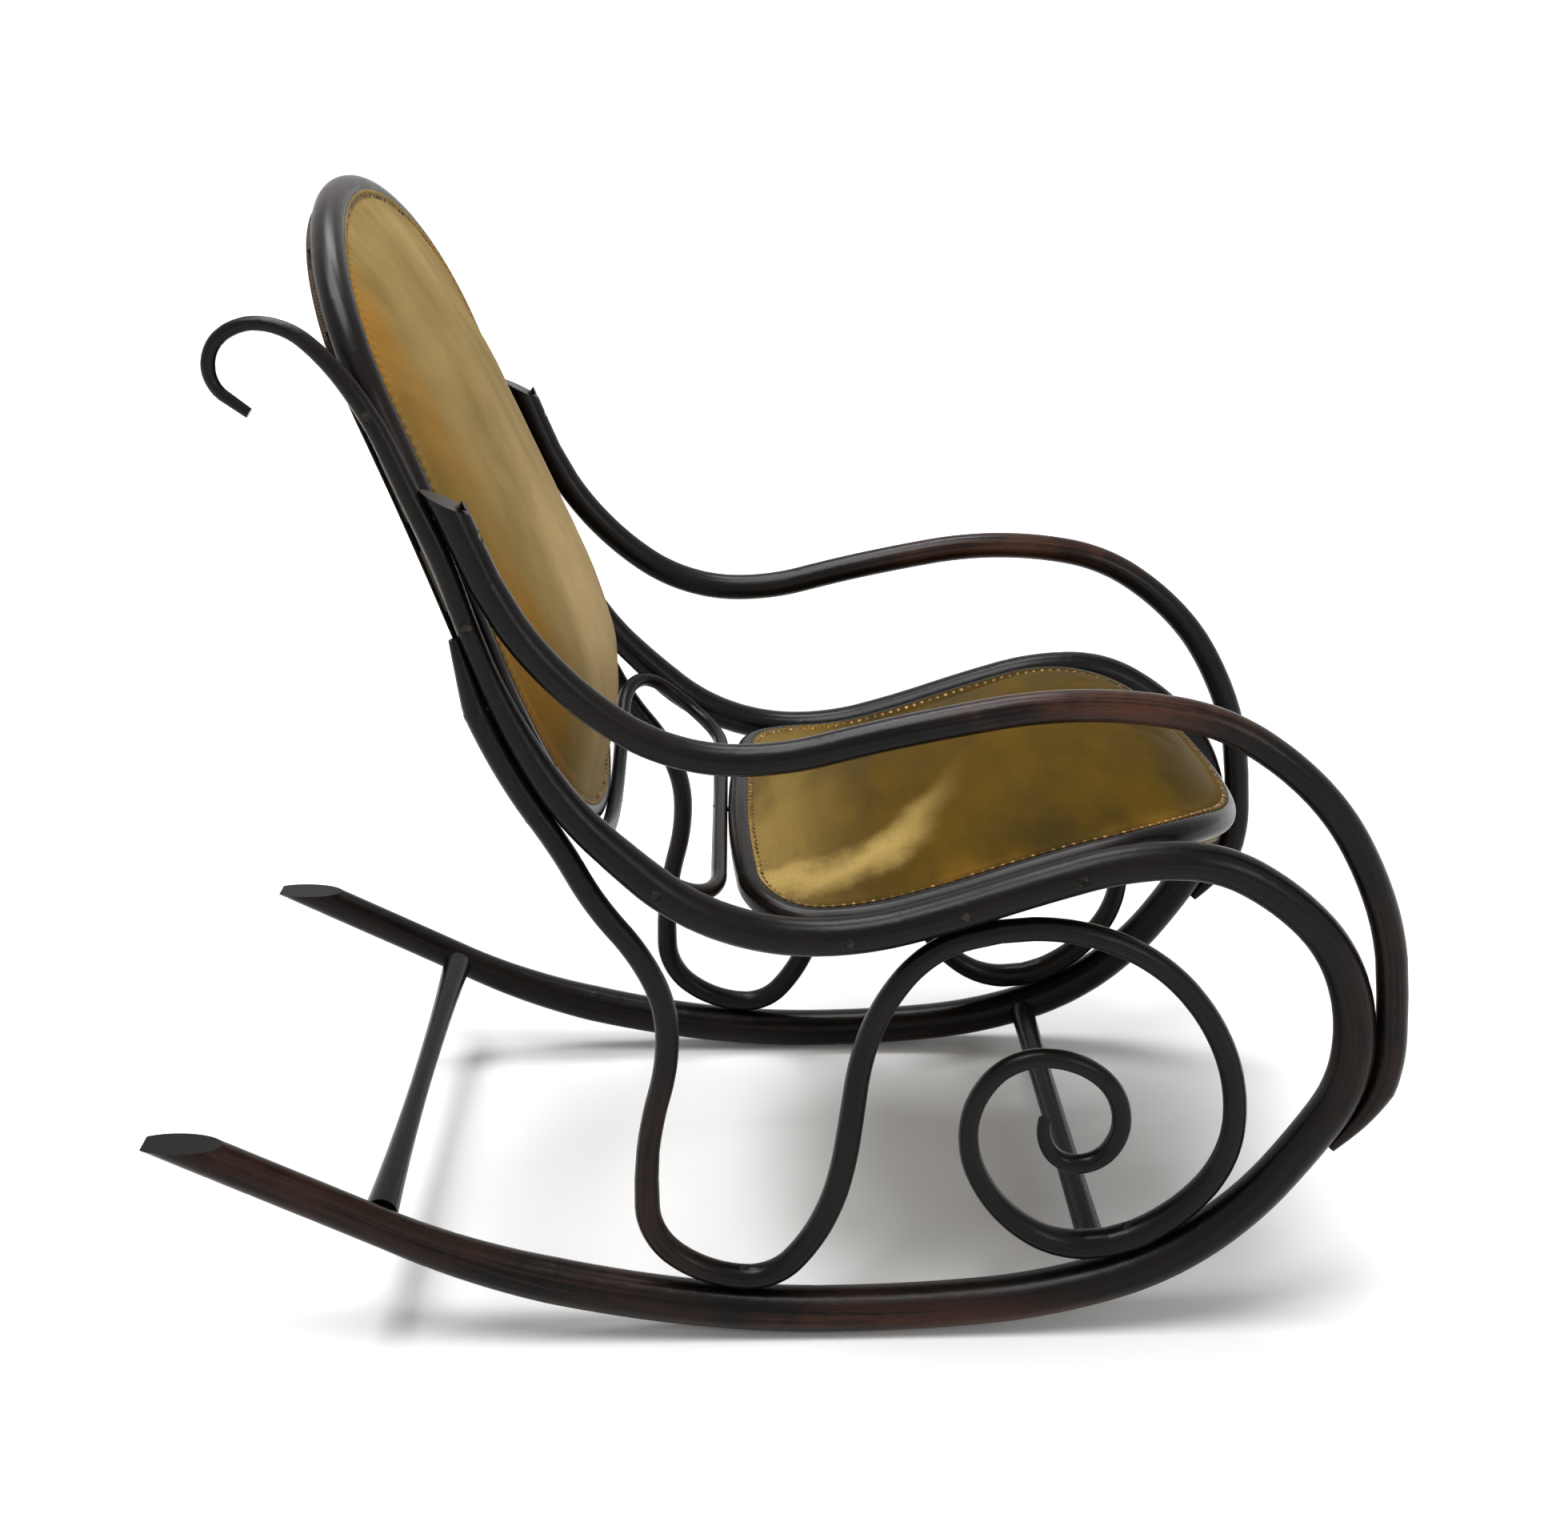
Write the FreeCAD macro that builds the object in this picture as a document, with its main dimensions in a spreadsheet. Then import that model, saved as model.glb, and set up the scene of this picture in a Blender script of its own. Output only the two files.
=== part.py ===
import FreeCAD, Part
import Sketcher
import math
import os
from FreeCAD import Placement, Rotation, Vector

# Bentwood rocking chair with an upholstered seat and back, in millimetres.
# +X is the chair's front, +Y the sitter's left, +Z up. The origin lies on the
# floor, midway between the runners, where they touch it.

doc = FreeCAD.newDocument("bentwood_rocking_chair")
sheet = doc.addObject("Spreadsheet::Sheet", "sizes")

X_AXIS = Vector(1, 0, 0)
Y_AXIS = Vector(0, 1, 0)
Z_AXIS = Vector(0, 0, 1)
SIDES = (("right", -1), ("left", 1))
LYING_STEPS = 4
QUARTER_STEPS = 3
FRONT_TURNS = (20, 38, 54, 67, 77, 84)
CROWN_EDGE = 0.28
CROWN_LEAST = 0.12
NAIL_LIFT = 0.1
BAND_STEP = 25
FIELD_DEPTH = 40

# Driving dimensions: alias, value in millimetres or degrees, meaning

SIZES = [
    ("frame_spacing", 500, "between the middle planes of the two side frames"),
    ("fit_gap", 0.3, "between round rods that touch"),
    ("hook_tip_dia", 8, "tip of the hook behind the back"),
    ("hook_dia", 10.5, "hook above the post"),
    ("neck_dia", 14.5, "where the hook runs into the post"),
    ("post_dia", 18, "back post, thinnest stretch"),
    ("post_foot_dia", 26, "back post where it bends into the seat rail"),
    ("rail_dia", 32, "seat rail"),
    ("front_dia", 36, "front bend"),
    ("runner_dia", 40, "runner where it stands on the floor"),
    ("runner_rear_dia", 33, "runner behind the rear stretcher"),
    ("tail_bevel", 26, "slope of the long cut on top of the runner's tail, degrees"),
    ("tail_edge", 4, "wood left at the end of the tail"),
    ("leg_tip_dia", 8, "upper tip of the scroll leg"),
    ("leg_dia", 20, "scroll leg beside the post and down to the floor loop"),
    ("loop_dia", 22, "floor loop of the scroll leg"),
    ("scroll_dia", 20, "upper half of the scroll"),
    ("scroll_foot_dia", 26, "scroll where it lies on the runner"),
    ("spiral_dia", 17, "inner turn of the scroll"),
    ("scroll_tip_dia", 11, "inner end of the scroll"),
    ("arm_dia", 26, "arm"),
    ("arm_tip_dia", 9, "lower end of the arm"),
    ("arm_bevel", 50, "slope of the cut at the arm's upper end, degrees"),
    ("seat_ring_dia", 24, "bent ring of the seat"),
    ("seat_ring_rear", -81, "middle of the seat ring's rear strand, along X"),
    ("seat_ring_bow", 8, "backward bow of the rear strand"),
    ("seat_corner", 62, "size of the seat ring's rear corners"),
    ("seat_straight_end", 210, "where the sides start to curve in, along X"),
    ("seat_ring_front", 363, "middle of the seat ring's front, along X"),
    ("back_ring_dia", 26, "bent ring of the back"),
    ("back_top_x", -403, "top of the back ring's centreline, along X"),
    ("back_top_z", 953, "top of the back ring's centreline, height"),
    ("back_foot_x", -217, "bottom of the back ring's centreline, along X"),
    ("back_foot_z", 416, "bottom of the back ring's centreline, height"),
    ("back_bow", 10, "forward bow of the back ring seen from the side"),
    ("back_top_round", 150, "height of the back ring's rounded top"),
    ("back_foot_round", 220, "height of the back ring's rounded bottom"),
    ("hoop_dia", 14, "connecting hoop between back and seat"),
    ("hoop_end_round", 70, "length of the hoop's rounded ends, across the chair"),
    ("hoop_hang", 28, "hoop's place under the foot of the back ring, degrees"),
    ("pad_gap", 0.7, "between upholstery and wood"),
    ("pad_corner_ease", 7, "extra rounding of the seat pad's rear corners"),
    ("layer_gap", 0.3, "between neighbouring layers of upholstery"),
    ("pad_lift", 0.5, "underside of the pads above the rings' lowest line"),
    ("cover_thk", 2, "covering cloth with its padding layer"),
    ("back_stuffing_thk", 8, "stuffing layer under the back cover"),
    ("seat_pad_rim", 11, "seat cover's edge above the ring's middle"),
    ("seat_pad_crown", 27, "rise of the seat cover from its edge to its middle"),
    ("back_pad_rim", 13, "back cover's edge in front of the ring's middle"),
    ("back_pad_crown", 40, "rise of the back cover from its edge to its middle"),
    ("web_width", 50, "webbing strap, width"),
    ("web_thk", 1.6, "webbing strap, thickness"),
    ("web_pitch", 74, "between the middles of neighbouring straps"),
    ("lining_thk", 1, "bottom cloth and back lining"),
    ("nail_head_dia", 7, "upholstery nail head"),
    ("nail_head_rise", 2, "upholstery nail head, height"),
    ("nail_shank_dia", 1.4, "upholstery nail shank"),
    ("nail_shank_len", 7, "upholstery nail shank, length"),
    ("nail_pitch", 8.6, "between neighbouring nails"),
    ("nail_lean", 38, "nail axis from the ring's own upright, towards the pad, degrees"),
    ("rear_stretcher_x", -399, "rear stretcher, along X"),
    ("rear_stretcher_mid_dia", 19, "rear stretcher in the middle"),
    ("rear_stretcher_end_dia", 30, "rear stretcher at its shoulders"),
    ("front_stretcher_x", 236, "front stretcher, along X"),
    ("front_stretcher_mid_dia", 23, "front stretcher in the middle"),
    ("front_stretcher_end_dia", 26, "front stretcher at its shoulders"),
    ("tenon_dia", 14, "round tenon of a stretcher"),
    ("tenon_len", 24, "tenon from shoulder to tip"),
    ("shoulder_gap", 0.5, "between a stretcher's shoulder and the runner"),
    ("screw_dia", 4.5, "wood screw shank"),
    ("screw_head_dia", 9, "wood screw head"),
    ("screw_head_len", 3.5, "wood screw head, height"),
    ("screw_bite", 0.6, "share of the second rod's diameter that a screw enters"),
    ("screw_play", 0.15, "clearance round a screw"),
]

# Side frame routes: station, forward, height, heading in degrees from +X, diameter.
# The headings follow the rod from the hook round the seat to the runner's tail,
# down the scroll leg into the spiral, and down the arm to its lower end.

RAIL_ROUTE = [
    ("hook_tip", -434, 816, 148, "hook_tip_dia"),
    ("hook_back", -460, 848, 90, "hook_dia"),
    ("hook_top", -424, 880, 0, "hook_dia"),
    ("neck", -362, 836, -56, "neck_dia"),
    ("post_top", -315, 735, -67, "post_dia"),
    ("post_mid", -277, 622, -71, "post_dia"),
    ("post_foot", -229, 521, -58, "post_foot_dia"),
    ("rail_rear", -155, 439, -42, "rail_dia"),
    ("rail_dip", -20, 388, 0, "rail_dia"),
    ("rail_rise", 122, 419, 19, "rail_dia"),
    ("rail_crest", 270, 453, 0, "rail_dia"),
    ("knee", 386, 396, -45, "rail_dia"),
    ("front", 434, 275, -90, "front_dia"),
    ("front_low", 381, 155, -125, "front_dia"),
    ("runner_front", 251, 53, -160, "runner_dia"),
    ("runner_floor", 0, None, -180, "runner_dia"),
    ("runner_mid", -251, 55, -195, "runner_dia"),
    ("runner_rear", -388, 109, -208, "runner_rear_dia"),
    ("tail", -583, 212, -208, "runner_rear_dia"),
]

LEG_ROUTE = [
    ("leg_bend", -181, 395, -52, "leg_dia"),
    ("leg_knee", -144, 300, -90, "leg_dia"),
    ("leg_low", -163, 185, -97, "leg_dia"),
    ("loop_rear", -165, 132, -90, "loop_dia"),
    ("loop_floor", -86, None, None, "loop_dia"),
    ("loop_front", -11, 118, 67, "loop_dia"),
    ("loop_rise", 8, 195, 83, "loop_dia"),
    ("scroll_rear", 25, 296, 72, "scroll_dia"),
    ("scroll_touch", 95, None, None, "scroll_dia"),
    ("scroll_top", 157, 393, 0, "scroll_dia"),
    ("scroll_shoulder", 287, 336, -48, "scroll_dia"),
    ("scroll_front", 339, 206, -90, "scroll_dia"),
    ("scroll_foot", 273, None, None, "scroll_foot_dia"),
    ("scroll_bottom", 217, 84, 180, "scroll_foot_dia"),
    ("scroll_back", 137, 129, 127, "scroll_dia"),
    ("spiral_rear", 111, 200, 90, "spiral_dia"),
    ("spiral_top", 171, 272, 0, "spiral_dia"),
    ("spiral_front", 242, 208, -90, "spiral_dia"),
    ("spiral_bottom", 207, 167, 180, "spiral_dia"),
    ("spiral_end", 176, 212, 80, "scroll_tip_dia"),
]

ARM_ROUTE = [
    ("arm_part", -255, 656, -58, "arm_dia"),
    ("arm_bend", -179, 575, -36, "arm_dia"),
    ("arm_dip", -80, 543, 0, "arm_dia"),
    ("arm_rise", 51, 567, 12, "arm_dia"),
    ("arm_crest", 188, 586, 0, "arm_dia"),
    ("arm_fall", 329, 552, -33, "arm_dia"),
    ("arm_front", 414, 466, -59, "arm_dia"),
    ("arm_drop", 456, 361, -79, "arm_dia"),
]

# Heights where the leg and the arm lie along the post and the front bend

TOUCH_HEIGHTS = [
    ("leg_part_height", 512, "leg leaves the post"),
    ("leg_hold_rise", 80, "from there up to where the leg starts to taper"),
    ("leg_taper_rise", 56, "from there up to the leg's upper tip"),
    ("arm_hold_height", 712, "arm leaves the post"),
    ("arm_hold_rise", 44, "from there up to the arm's upper end"),
    ("arm_meet_height", 292, "arm meets the front bend"),
    ("arm_meet_drop", 46, "from there down to where the arm starts to taper"),
    ("arm_taper_drop", 54, "from there down to the arm's lower end"),
]


def fill_sheet():
    rows = [(name, value, note) for name, value, note in SIZES + TOUCH_HEIGHTS]
    for route in (RAIL_ROUTE, LEG_ROUTE, ARM_ROUTE):
        for name, forward, height, heading, _ in route:
            rows.append((name + "_forward", forward, "station, along X"))
            if height is not None:
                rows.append((name + "_height", height, "station, height"))
            if heading is not None:
                rows.append((name + "_heading", heading, "station, degrees"))
    for number, (name, value, note) in enumerate(rows, start=1):
        sheet.set("A%d" % number, name)
        sheet.set("B%d" % number, str(value))
        sheet.setAlias("B%d" % number, name)
        sheet.set("C%d" % number, note)
    doc.recompute()


fill_sheet()


def size(name):
    return float(getattr(sheet, name))


# Rods bent from tangent arcs


def heading_vector(degrees):
    angle = math.radians(degrees)
    return Vector(math.cos(angle), 0, math.sin(angle))


def biarc_corners(start, start_way, end, end_way):
    """Two tangent arcs from start to end, each as its start, corner and end point."""
    chord = end - start
    ways = start_way + end_way
    spread = 2 * (1 - start_way.dot(end_way))
    if spread < 1e-9:
        reach = chord.dot(chord) / (4 * chord.dot(end_way))
    else:
        along = chord.dot(ways)
        reach = (math.sqrt(along ** 2 + spread * chord.dot(chord)) - along) / spread
    first = start + start_way * reach
    second = end - end_way * reach
    middle = (first + second) * 0.5
    return [(start, first, middle), (middle, second, end)]


def arc_edge(start, corner, end):
    """The arc that leaves start towards the corner and reaches end from it."""
    middle = (start + end) * 0.5
    rise = corner - middle
    half = (end - start).Length / 2
    if rise.Length < 1e-4 * half:
        return Part.LineSegment(start, end).toShape()
    bulge = half * math.tan(math.atan2(rise.Length, half) / 2)
    return Part.Arc(start, middle + rise.normalize() * bulge, end).toShape()


class Rod:
    """A round rod along stations of (point, direction, radius), with tangent arcs between."""

    SECTION_STEP = 36
    SECTION_TURN = 18

    def __init__(self, stations, seam=Y_AXIS):
        self.seam = seam
        self.edges = []
        self.radii = [stations[0][2]]
        self.reach = [0.0]
        self.marks = [0.0]
        for here, there in zip(stations, stations[1:]):
            corners = biarc_corners(here[0], here[1], there[0], there[1])
            pair = [arc_edge(*arc) for arc in corners]
            share = pair[0].Length / (pair[0].Length + pair[1].Length)
            self.radii.append(here[2] + (there[2] - here[2]) * share)
            self.radii.append(there[2])
            for edge in pair:
                self.edges.append(edge)
                self.reach.append(self.reach[-1] + edge.Length)
            self.marks.append(self.reach[-1])

    def at(self, distance):
        """Point, direction and radius at a distance along the rod."""
        index = 0
        while index < len(self.edges) - 1 and self.reach[index + 1] < distance:
            index += 1
        edge = self.edges[index]
        into = distance - self.reach[index]
        turn = edge.getParameterByLength(min(into, edge.Length * (1 - 1e-9)))
        share = into / edge.Length
        radius = self.radii[index] + (self.radii[index + 1] - self.radii[index]) * share
        return edge.valueAt(turn), edge.tangentAt(turn), radius

    def crossing(self, axis, value, first, last):
        """Point, direction and radius where the rod crosses a plane between two stations."""
        low = self.marks[first]
        high = self.marks[last]
        rising = self.at(high)[0].dot(axis) > self.at(low)[0].dot(axis)
        for _ in range(40):
            middle = (low + high) / 2
            if (self.at(middle)[0].dot(axis) < value) == rising:
                low = middle
            else:
                high = middle
        return self.at((low + high) / 2)

    def sections(self, index):
        """Circles along one arc."""
        edge = self.edges[index]
        count = math.ceil(edge.Length / self.SECTION_STEP)
        if hasattr(edge.Curve, "Radius"):
            turn = math.degrees(edge.Length / edge.Curve.Radius)
            count = max(count, math.ceil(turn / self.SECTION_TURN))
        start = self.reach[index]
        return [self.circle(start + edge.Length * step / count) for step in range(count + 1)]

    def circle(self, distance):
        """Circle round the rod, which starts an eighth of a turn from the seam vector."""
        point, way, radius = self.at(distance)
        side = (self.seam - way * self.seam.dot(way)).normalize()
        start = (side + way.cross(side)).normalize()
        ring = Part.makeCircle(radius)
        ring.Placement = Placement(point, Rotation(start, way.cross(start), way, "ZXY"))
        return Part.Wire(ring)

    def solid(self):
        """Solid whose skin is one loft for each arc, closed by flat ends."""
        faces = [Part.Face(self.circle(0)), Part.Face(self.circle(self.reach[-1]))]
        for index in range(len(self.edges)):
            faces += Part.makeLoft(self.sections(index), False, False).Faces
        shell = Part.Shell(faces)
        shell.sewShape()
        return Part.Solid(shell)


def station_index(route, name):
    return [row[0] for row in route].index(name)


def station(row):
    name, _, height, _, diameter = row
    height_value = size(diameter) / 2 if height is None else size(name + "_height")
    point = Vector(size(name + "_forward"), 0, height_value)
    return point, heading_vector(size(name + "_heading")), size(diameter) / 2


def beside(spot, radius, side):
    """Point and direction of a rod that lies against a spot of the side rail.

    side is 1 for the rail's left as one follows it and -1 for its right.
    """
    point, way, rail_radius = spot
    across = Vector(-way.z, 0, way.x) * side
    return point + across * (rail_radius + radius + size("fit_gap")), way, radius


side_rail = Rod([station(row) for row in RAIL_ROUTE])


def rail_mark(name):
    return station_index(RAIL_ROUTE, name)


def rail_post_at(height):
    return side_rail.crossing(Z_AXIS, height, rail_mark("hook_top"), rail_mark("rail_rear"))


def rail_seat_at(forward):
    return side_rail.crossing(X_AXIS, forward, rail_mark("post_foot"), rail_mark("knee"))


def rail_front_at(height):
    return side_rail.crossing(Z_AXIS, height, rail_mark("knee"), rail_mark("runner_front"))


def runner_at(forward):
    return side_rail.crossing(X_AXIS, forward, rail_mark("front"), rail_mark("tail"))


def lying(rail_at, first, last, side):
    """Stations of a stretch that lies against the side rail between two heights.

    first and last are (height, radius).
    """
    def spot(share):
        height = first[0] + (last[0] - first[0]) * share
        radius = first[1] + (last[1] - first[1]) * share
        return beside(rail_at(height), radius, side)

    pace = 0.01
    stations = []
    for step in range(LYING_STEPS + 1):
        share = step / LYING_STEPS
        way = (spot(share + pace)[0] - spot(share - pace)[0]).normalize()
        point, _, radius = spot(share)
        stations.append((point, way, radius))
    return stations


leg_part = size("leg_part_height")
leg_full = leg_part + size("leg_hold_rise")
arm_hold = size("arm_hold_height")
arm_meet = size("arm_meet_height")
arm_taper = arm_meet - size("arm_meet_drop")


def leg_stations():
    tip = (leg_full + size("leg_taper_rise"), size("leg_tip_dia") / 2)
    full = (leg_full, size("leg_dia") / 2)
    part = (leg_part, size("leg_dia") / 2)
    stations = lying(rail_post_at, tip, full, -1)[:-1]
    stations += lying(rail_post_at, full, part, -1)
    for row in LEG_ROUTE:
        name = row[0]
        radius = size(row[4]) / 2
        if name == "loop_floor":
            point, way, _ = beside(runner_at(size(name + "_forward")), radius, -1)
            stations.append((point, way * -1, radius))
        elif name == "scroll_touch":
            stations.append(beside(rail_seat_at(size(name + "_forward")), radius, -1))
        elif name == "scroll_foot":
            stations.append(beside(runner_at(size(name + "_forward")), radius, -1))
        else:
            stations.append(station(row))
    return stations


def arm_stations():
    radius = size("arm_dia") / 2
    tip = (arm_hold + size("arm_hold_rise"), radius)
    hold = (arm_hold, radius)
    meet = (arm_meet, radius)
    taper = (arm_taper, radius)
    end = (arm_taper - size("arm_taper_drop"), size("arm_tip_dia") / 2)
    stations = lying(rail_post_at, tip, hold, 1)
    stations += [station(row) for row in ARM_ROUTE]
    stations += lying(rail_front_at, meet, taper, 1)[:-1]
    stations += lying(rail_front_at, taper, end, 1)
    return stations


scroll_leg = Rod(leg_stations())
arm = Rod(arm_stations())
frame_y = size("frame_spacing") / 2
ring_radius = size("seat_ring_dia") / 2
back_radius = size("back_ring_dia") / 2
hoop_radius = size("hoop_dia") / 2
rail_radius = size("rail_dia") / 2
fit_gap = size("fit_gap")


def path_station(place, share, radius):
    """Station of a rod on a path given by place(share), its direction from near by."""
    pace = 1e-3
    way = (place(share + pace) - place(share - pace)).normalize()
    return place(share), way, radius


def closed_ring(half):
    """Closed ring of one diameter from a half that starts and ends in the middle plane."""
    edges = half.edges + [edge.mirror(Vector(), Y_AXIS) for edge in half.edges]
    path = Part.Wire(Part.__sortEdges__(edges))
    return path.makePipeShell([half.circle(0)], True, False)


# Seat ring: its strands lie beside the seat rails and follow their wave

seat_half_width = frame_y - rail_radius - fit_gap - ring_radius
seat_rear_x = size("seat_ring_rear")
seat_bow = size("seat_ring_bow")
seat_corner = size("seat_corner")
seat_curve_x = size("seat_straight_end")
seat_front_depth = size("seat_ring_front") - seat_curve_x


def wave_height(forward):
    return rail_seat_at(forward)[0].z


def on_wave(forward, across):
    return Vector(forward, across, wave_height(forward))


def seat_front(share):
    """Front quarter of the seat ring, from its middle at 0 to its side at 1."""
    turn = math.radians(90 * share)
    return on_wave(
        seat_curve_x + seat_front_depth * math.cos(turn),
        seat_half_width * math.sin(turn),
    )


def seat_side(share):
    """Side of the seat ring, from where the front curve ends to the rear corner."""
    end_x = seat_rear_x + seat_bow + seat_corner
    return on_wave(seat_curve_x + (end_x - seat_curve_x) * share, seat_half_width)


def seat_rear(share):
    """Rear strand of the seat ring, from its corner to its middle."""
    across = (seat_half_width - seat_corner) * (1 - share)
    bow = seat_bow * (across / (seat_half_width - seat_corner)) ** 2
    return on_wave(seat_rear_x + bow, across)


def seat_ring_stations():
    stations = []
    for step in range(QUARTER_STEPS + 1):
        stations.append(path_station(seat_front, step / QUARTER_STEPS, ring_radius))
    side_steps = 5
    for step in range(1, side_steps + 1):
        stations.append(path_station(seat_side, step / side_steps, ring_radius))
    stations.append(path_station(seat_rear, 0, ring_radius))
    stations.append(path_station(seat_rear, 1, ring_radius))
    return stations


# Back ring: an upright oval between the posts, bowed a little towards the sitter

back_top = Vector(size("back_top_x"), 0, size("back_top_z"))
back_foot = Vector(size("back_foot_x"), 0, size("back_foot_z"))
back_length = (back_foot - back_top).Length
back_down = (back_foot - back_top).normalize()
back_front = Vector(-back_down.z, 0, back_down.x)
back_top_round = size("back_top_round")
back_foot_start = back_length - size("back_foot_round")


def back_place(down, across, forward=0):
    """Point at a distance down the ring from its top, across it and in front of it."""
    share = down / back_length
    bow = size("back_bow") * 4 * share * (1 - share)
    return back_top + back_down * down + back_front * (bow + forward) + Y_AXIS * across


def post_radius_beside(down):
    return rail_post_at(back_place(down, 0).z)[2]


widest_post = max(post_radius_beside(back_top_round), post_radius_beside(back_foot_start))
back_half_width = frame_y - widest_post - fit_gap - back_radius


def upper_round(share, inset=0):
    """Distance down and half width of the ring's rounded top, from its middle to its side."""
    turn = math.radians(90 * share)
    down = back_top_round - (back_top_round - inset) * math.cos(turn)
    return down, (back_half_width - inset) * math.sin(turn)


def lower_round(share, inset=0):
    """The same for the ring's rounded bottom, from its side to its middle."""
    turn = math.radians(90 * share)
    down = back_foot_start + (size("back_foot_round") - inset) * math.sin(turn)
    return down, (back_half_width - inset) * math.cos(turn)


def back_upper(share):
    return back_place(*upper_round(share))


def back_lower(share):
    return back_place(*lower_round(share))


def back_side(share):
    down = back_top_round + (back_foot_start - back_top_round) * share
    return back_place(down, back_half_width)


def back_ring_stations():
    stations = []
    for step in range(QUARTER_STEPS + 1):
        stations.append(path_station(back_upper, step / QUARTER_STEPS, back_radius))
    for share in (0.5, 1):
        stations.append(path_station(back_side, share, back_radius))
    for step in range(1, QUARTER_STEPS + 1):
        stations.append(path_station(back_lower, step / QUARTER_STEPS, back_radius))
    return stations


# Connecting hoop: under the back ring's foot, against the seat ring and both rails

hang = math.radians(size("hoop_hang"))
hoop_rear = back_place(back_length, 0) + Vector(math.cos(hang), 0, -math.sin(hang)) * (
    back_radius + fit_gap + hoop_radius
)
hoop_front = seat_rear(1) - X_AXIS * (ring_radius + fit_gap + hoop_radius)
hoop_middle = (hoop_rear + hoop_front) * 0.5
hoop_depth = (hoop_front - hoop_rear) * 0.5
hoop_half_width = frame_y - rail_radius - fit_gap - hoop_radius
hoop_straight = hoop_half_width - size("hoop_end_round")


def hoop_place(depth_share, across):
    """Point of the hoop's curved plane, which rises at the sides to follow the rails."""
    flat = hoop_middle + hoop_depth * depth_share
    lift = (wave_height(flat.x) - flat.z) * (across / hoop_half_width) ** 2
    return flat + Y_AXIS * across + Z_AXIS * lift


def hoop_strand(share):
    """Rear strand of the hoop, from its middle to where the end starts to round."""
    return hoop_place(-1, hoop_straight * share)


def hoop_end(share):
    """Rounded end of the hoop, from the rear strand at 0 to the front strand at 1."""
    turn = math.radians(180 * share)
    across = hoop_straight + size("hoop_end_round") * math.sin(turn)
    return hoop_place(-math.cos(turn), across)


def hoop_front_strand(share):
    return hoop_place(1, hoop_straight * (1 - share))


def hoop_stations():
    stations = [path_station(hoop_strand, 0, hoop_radius)]
    end_steps = 6
    for step in range(end_steps + 1):
        stations.append(path_station(hoop_end, step / end_steps, hoop_radius))
    stations.append(path_station(hoop_front_strand, 1, hoop_radius))
    return stations


# Fasteners


def turned(profile, place, way):
    """Solid turned from a half profile of (radius, height) points about its own axis."""
    points = [Vector(radius, 0, height) for radius, height in profile]
    face = Part.Face(Part.makePolygon(points + points[:1]))
    shape = face.revolve(Vector(), Z_AXIS, 360)
    shape.Placement = Placement(place, Rotation(Z_AXIS, way))
    return shape


class Screw:
    """Countersunk wood screw through one rod into another, along the line of their middles."""

    SINK = 0.8
    POINT = 3

    def __init__(self, first, second, first_radius, second_radius):
        self.way = (second - first).normalize()
        self.start = first - self.way * (first_radius - self.SINK)
        span = (second - first).Length
        bite = size("screw_bite") * 2 * second_radius
        self.length = first_radius - self.SINK + span - second_radius + bite

    def profile(self, play, over):
        shank = size("screw_dia") / 2 + play
        head = size("screw_head_dia") / 2 + play
        depth = size("screw_head_len") + play
        tip = self.length + play
        return [
            (0, -over),
            (head, -over),
            (head, 0),
            (shank, depth),
            (shank, tip - self.POINT),
            (0, tip),
        ]

    def solid(self):
        rows = self.profile(0, 0)
        return turned(rows[:1] + rows[2:], self.start, self.way)

    def hole(self):
        return turned(self.profile(size("screw_play"), size("screw_head_dia")), self.start, self.way)


def side_screw(spot_pair):
    """Screw of the right side's frame plane; it runs from an added rod into the side rail."""
    (point, radius), rail = spot_pair
    return Screw(point, rail[0], radius, rail[2])


def joint_between(rail_spot, radius, side):
    point = beside(rail_spot, radius, side)[0]
    return (point, radius), rail_spot


def arm_screws():
    radius = size("arm_dia") / 2
    upper = rail_post_at(arm_hold + size("arm_hold_rise") / 2)
    lower = rail_post_at(arm_hold)
    front = rail_front_at(arm_meet)
    taper = rail_front_at(arm_taper)
    return [side_screw(joint_between(spot, radius, 1)) for spot in (upper, lower, front, taper)]


def leg_screws():
    leg = size("leg_dia") / 2
    post_upper = rail_post_at(leg_full)
    post_lower = rail_post_at(leg_part)
    floor = runner_at(size("loop_floor_forward"))
    touch = rail_seat_at(size("scroll_touch_forward"))
    foot = runner_at(size("scroll_foot_forward"))
    return [
        side_screw(joint_between(post_upper, leg, -1)),
        side_screw(joint_between(post_lower, leg, -1)),
        side_screw(joint_between(floor, size("loop_dia") / 2, -1)),
        side_screw(joint_between(touch, size("scroll_dia") / 2, -1)),
        side_screw(joint_between(foot, size("scroll_foot_dia") / 2, -1)),
    ]


def rail_screw(spot, target, target_radius, side):
    """Screw from the outside of a side rail into a rod inside it."""
    point = Vector(spot[0].x, side * frame_y, spot[0].z)
    return Screw(point, target, spot[2], target_radius)


def seat_ring_screws(side):
    screws = []
    for share in (0.08, 0.5, 0.92):
        target = seat_side(share)
        target.y *= side
        screws.append(rail_screw(rail_seat_at(target.x), target, ring_radius, side))
    return screws


def back_ring_screws(side):
    screws = []
    for share in (0, 0.85):
        target = back_side(share)
        target.y *= side
        screws.append(rail_screw(rail_post_at(target.z), target, back_radius, side))
    return screws


def hoop_end_screw(side):
    target = hoop_end(0.5)
    target.y *= side
    return rail_screw(rail_seat_at(target.x), target, hoop_radius, side)


hoop_middle_screws = [
    Screw(hoop_rear, back_place(back_length, 0), hoop_radius, back_radius),
    Screw(hoop_front, seat_rear(1), hoop_radius, ring_radius),
]

# Side frames


def drilled(shape, screws):
    for screw in screws:
        shape = shape.cut(screw.hole()).Solids[0]
    return shape


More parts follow.
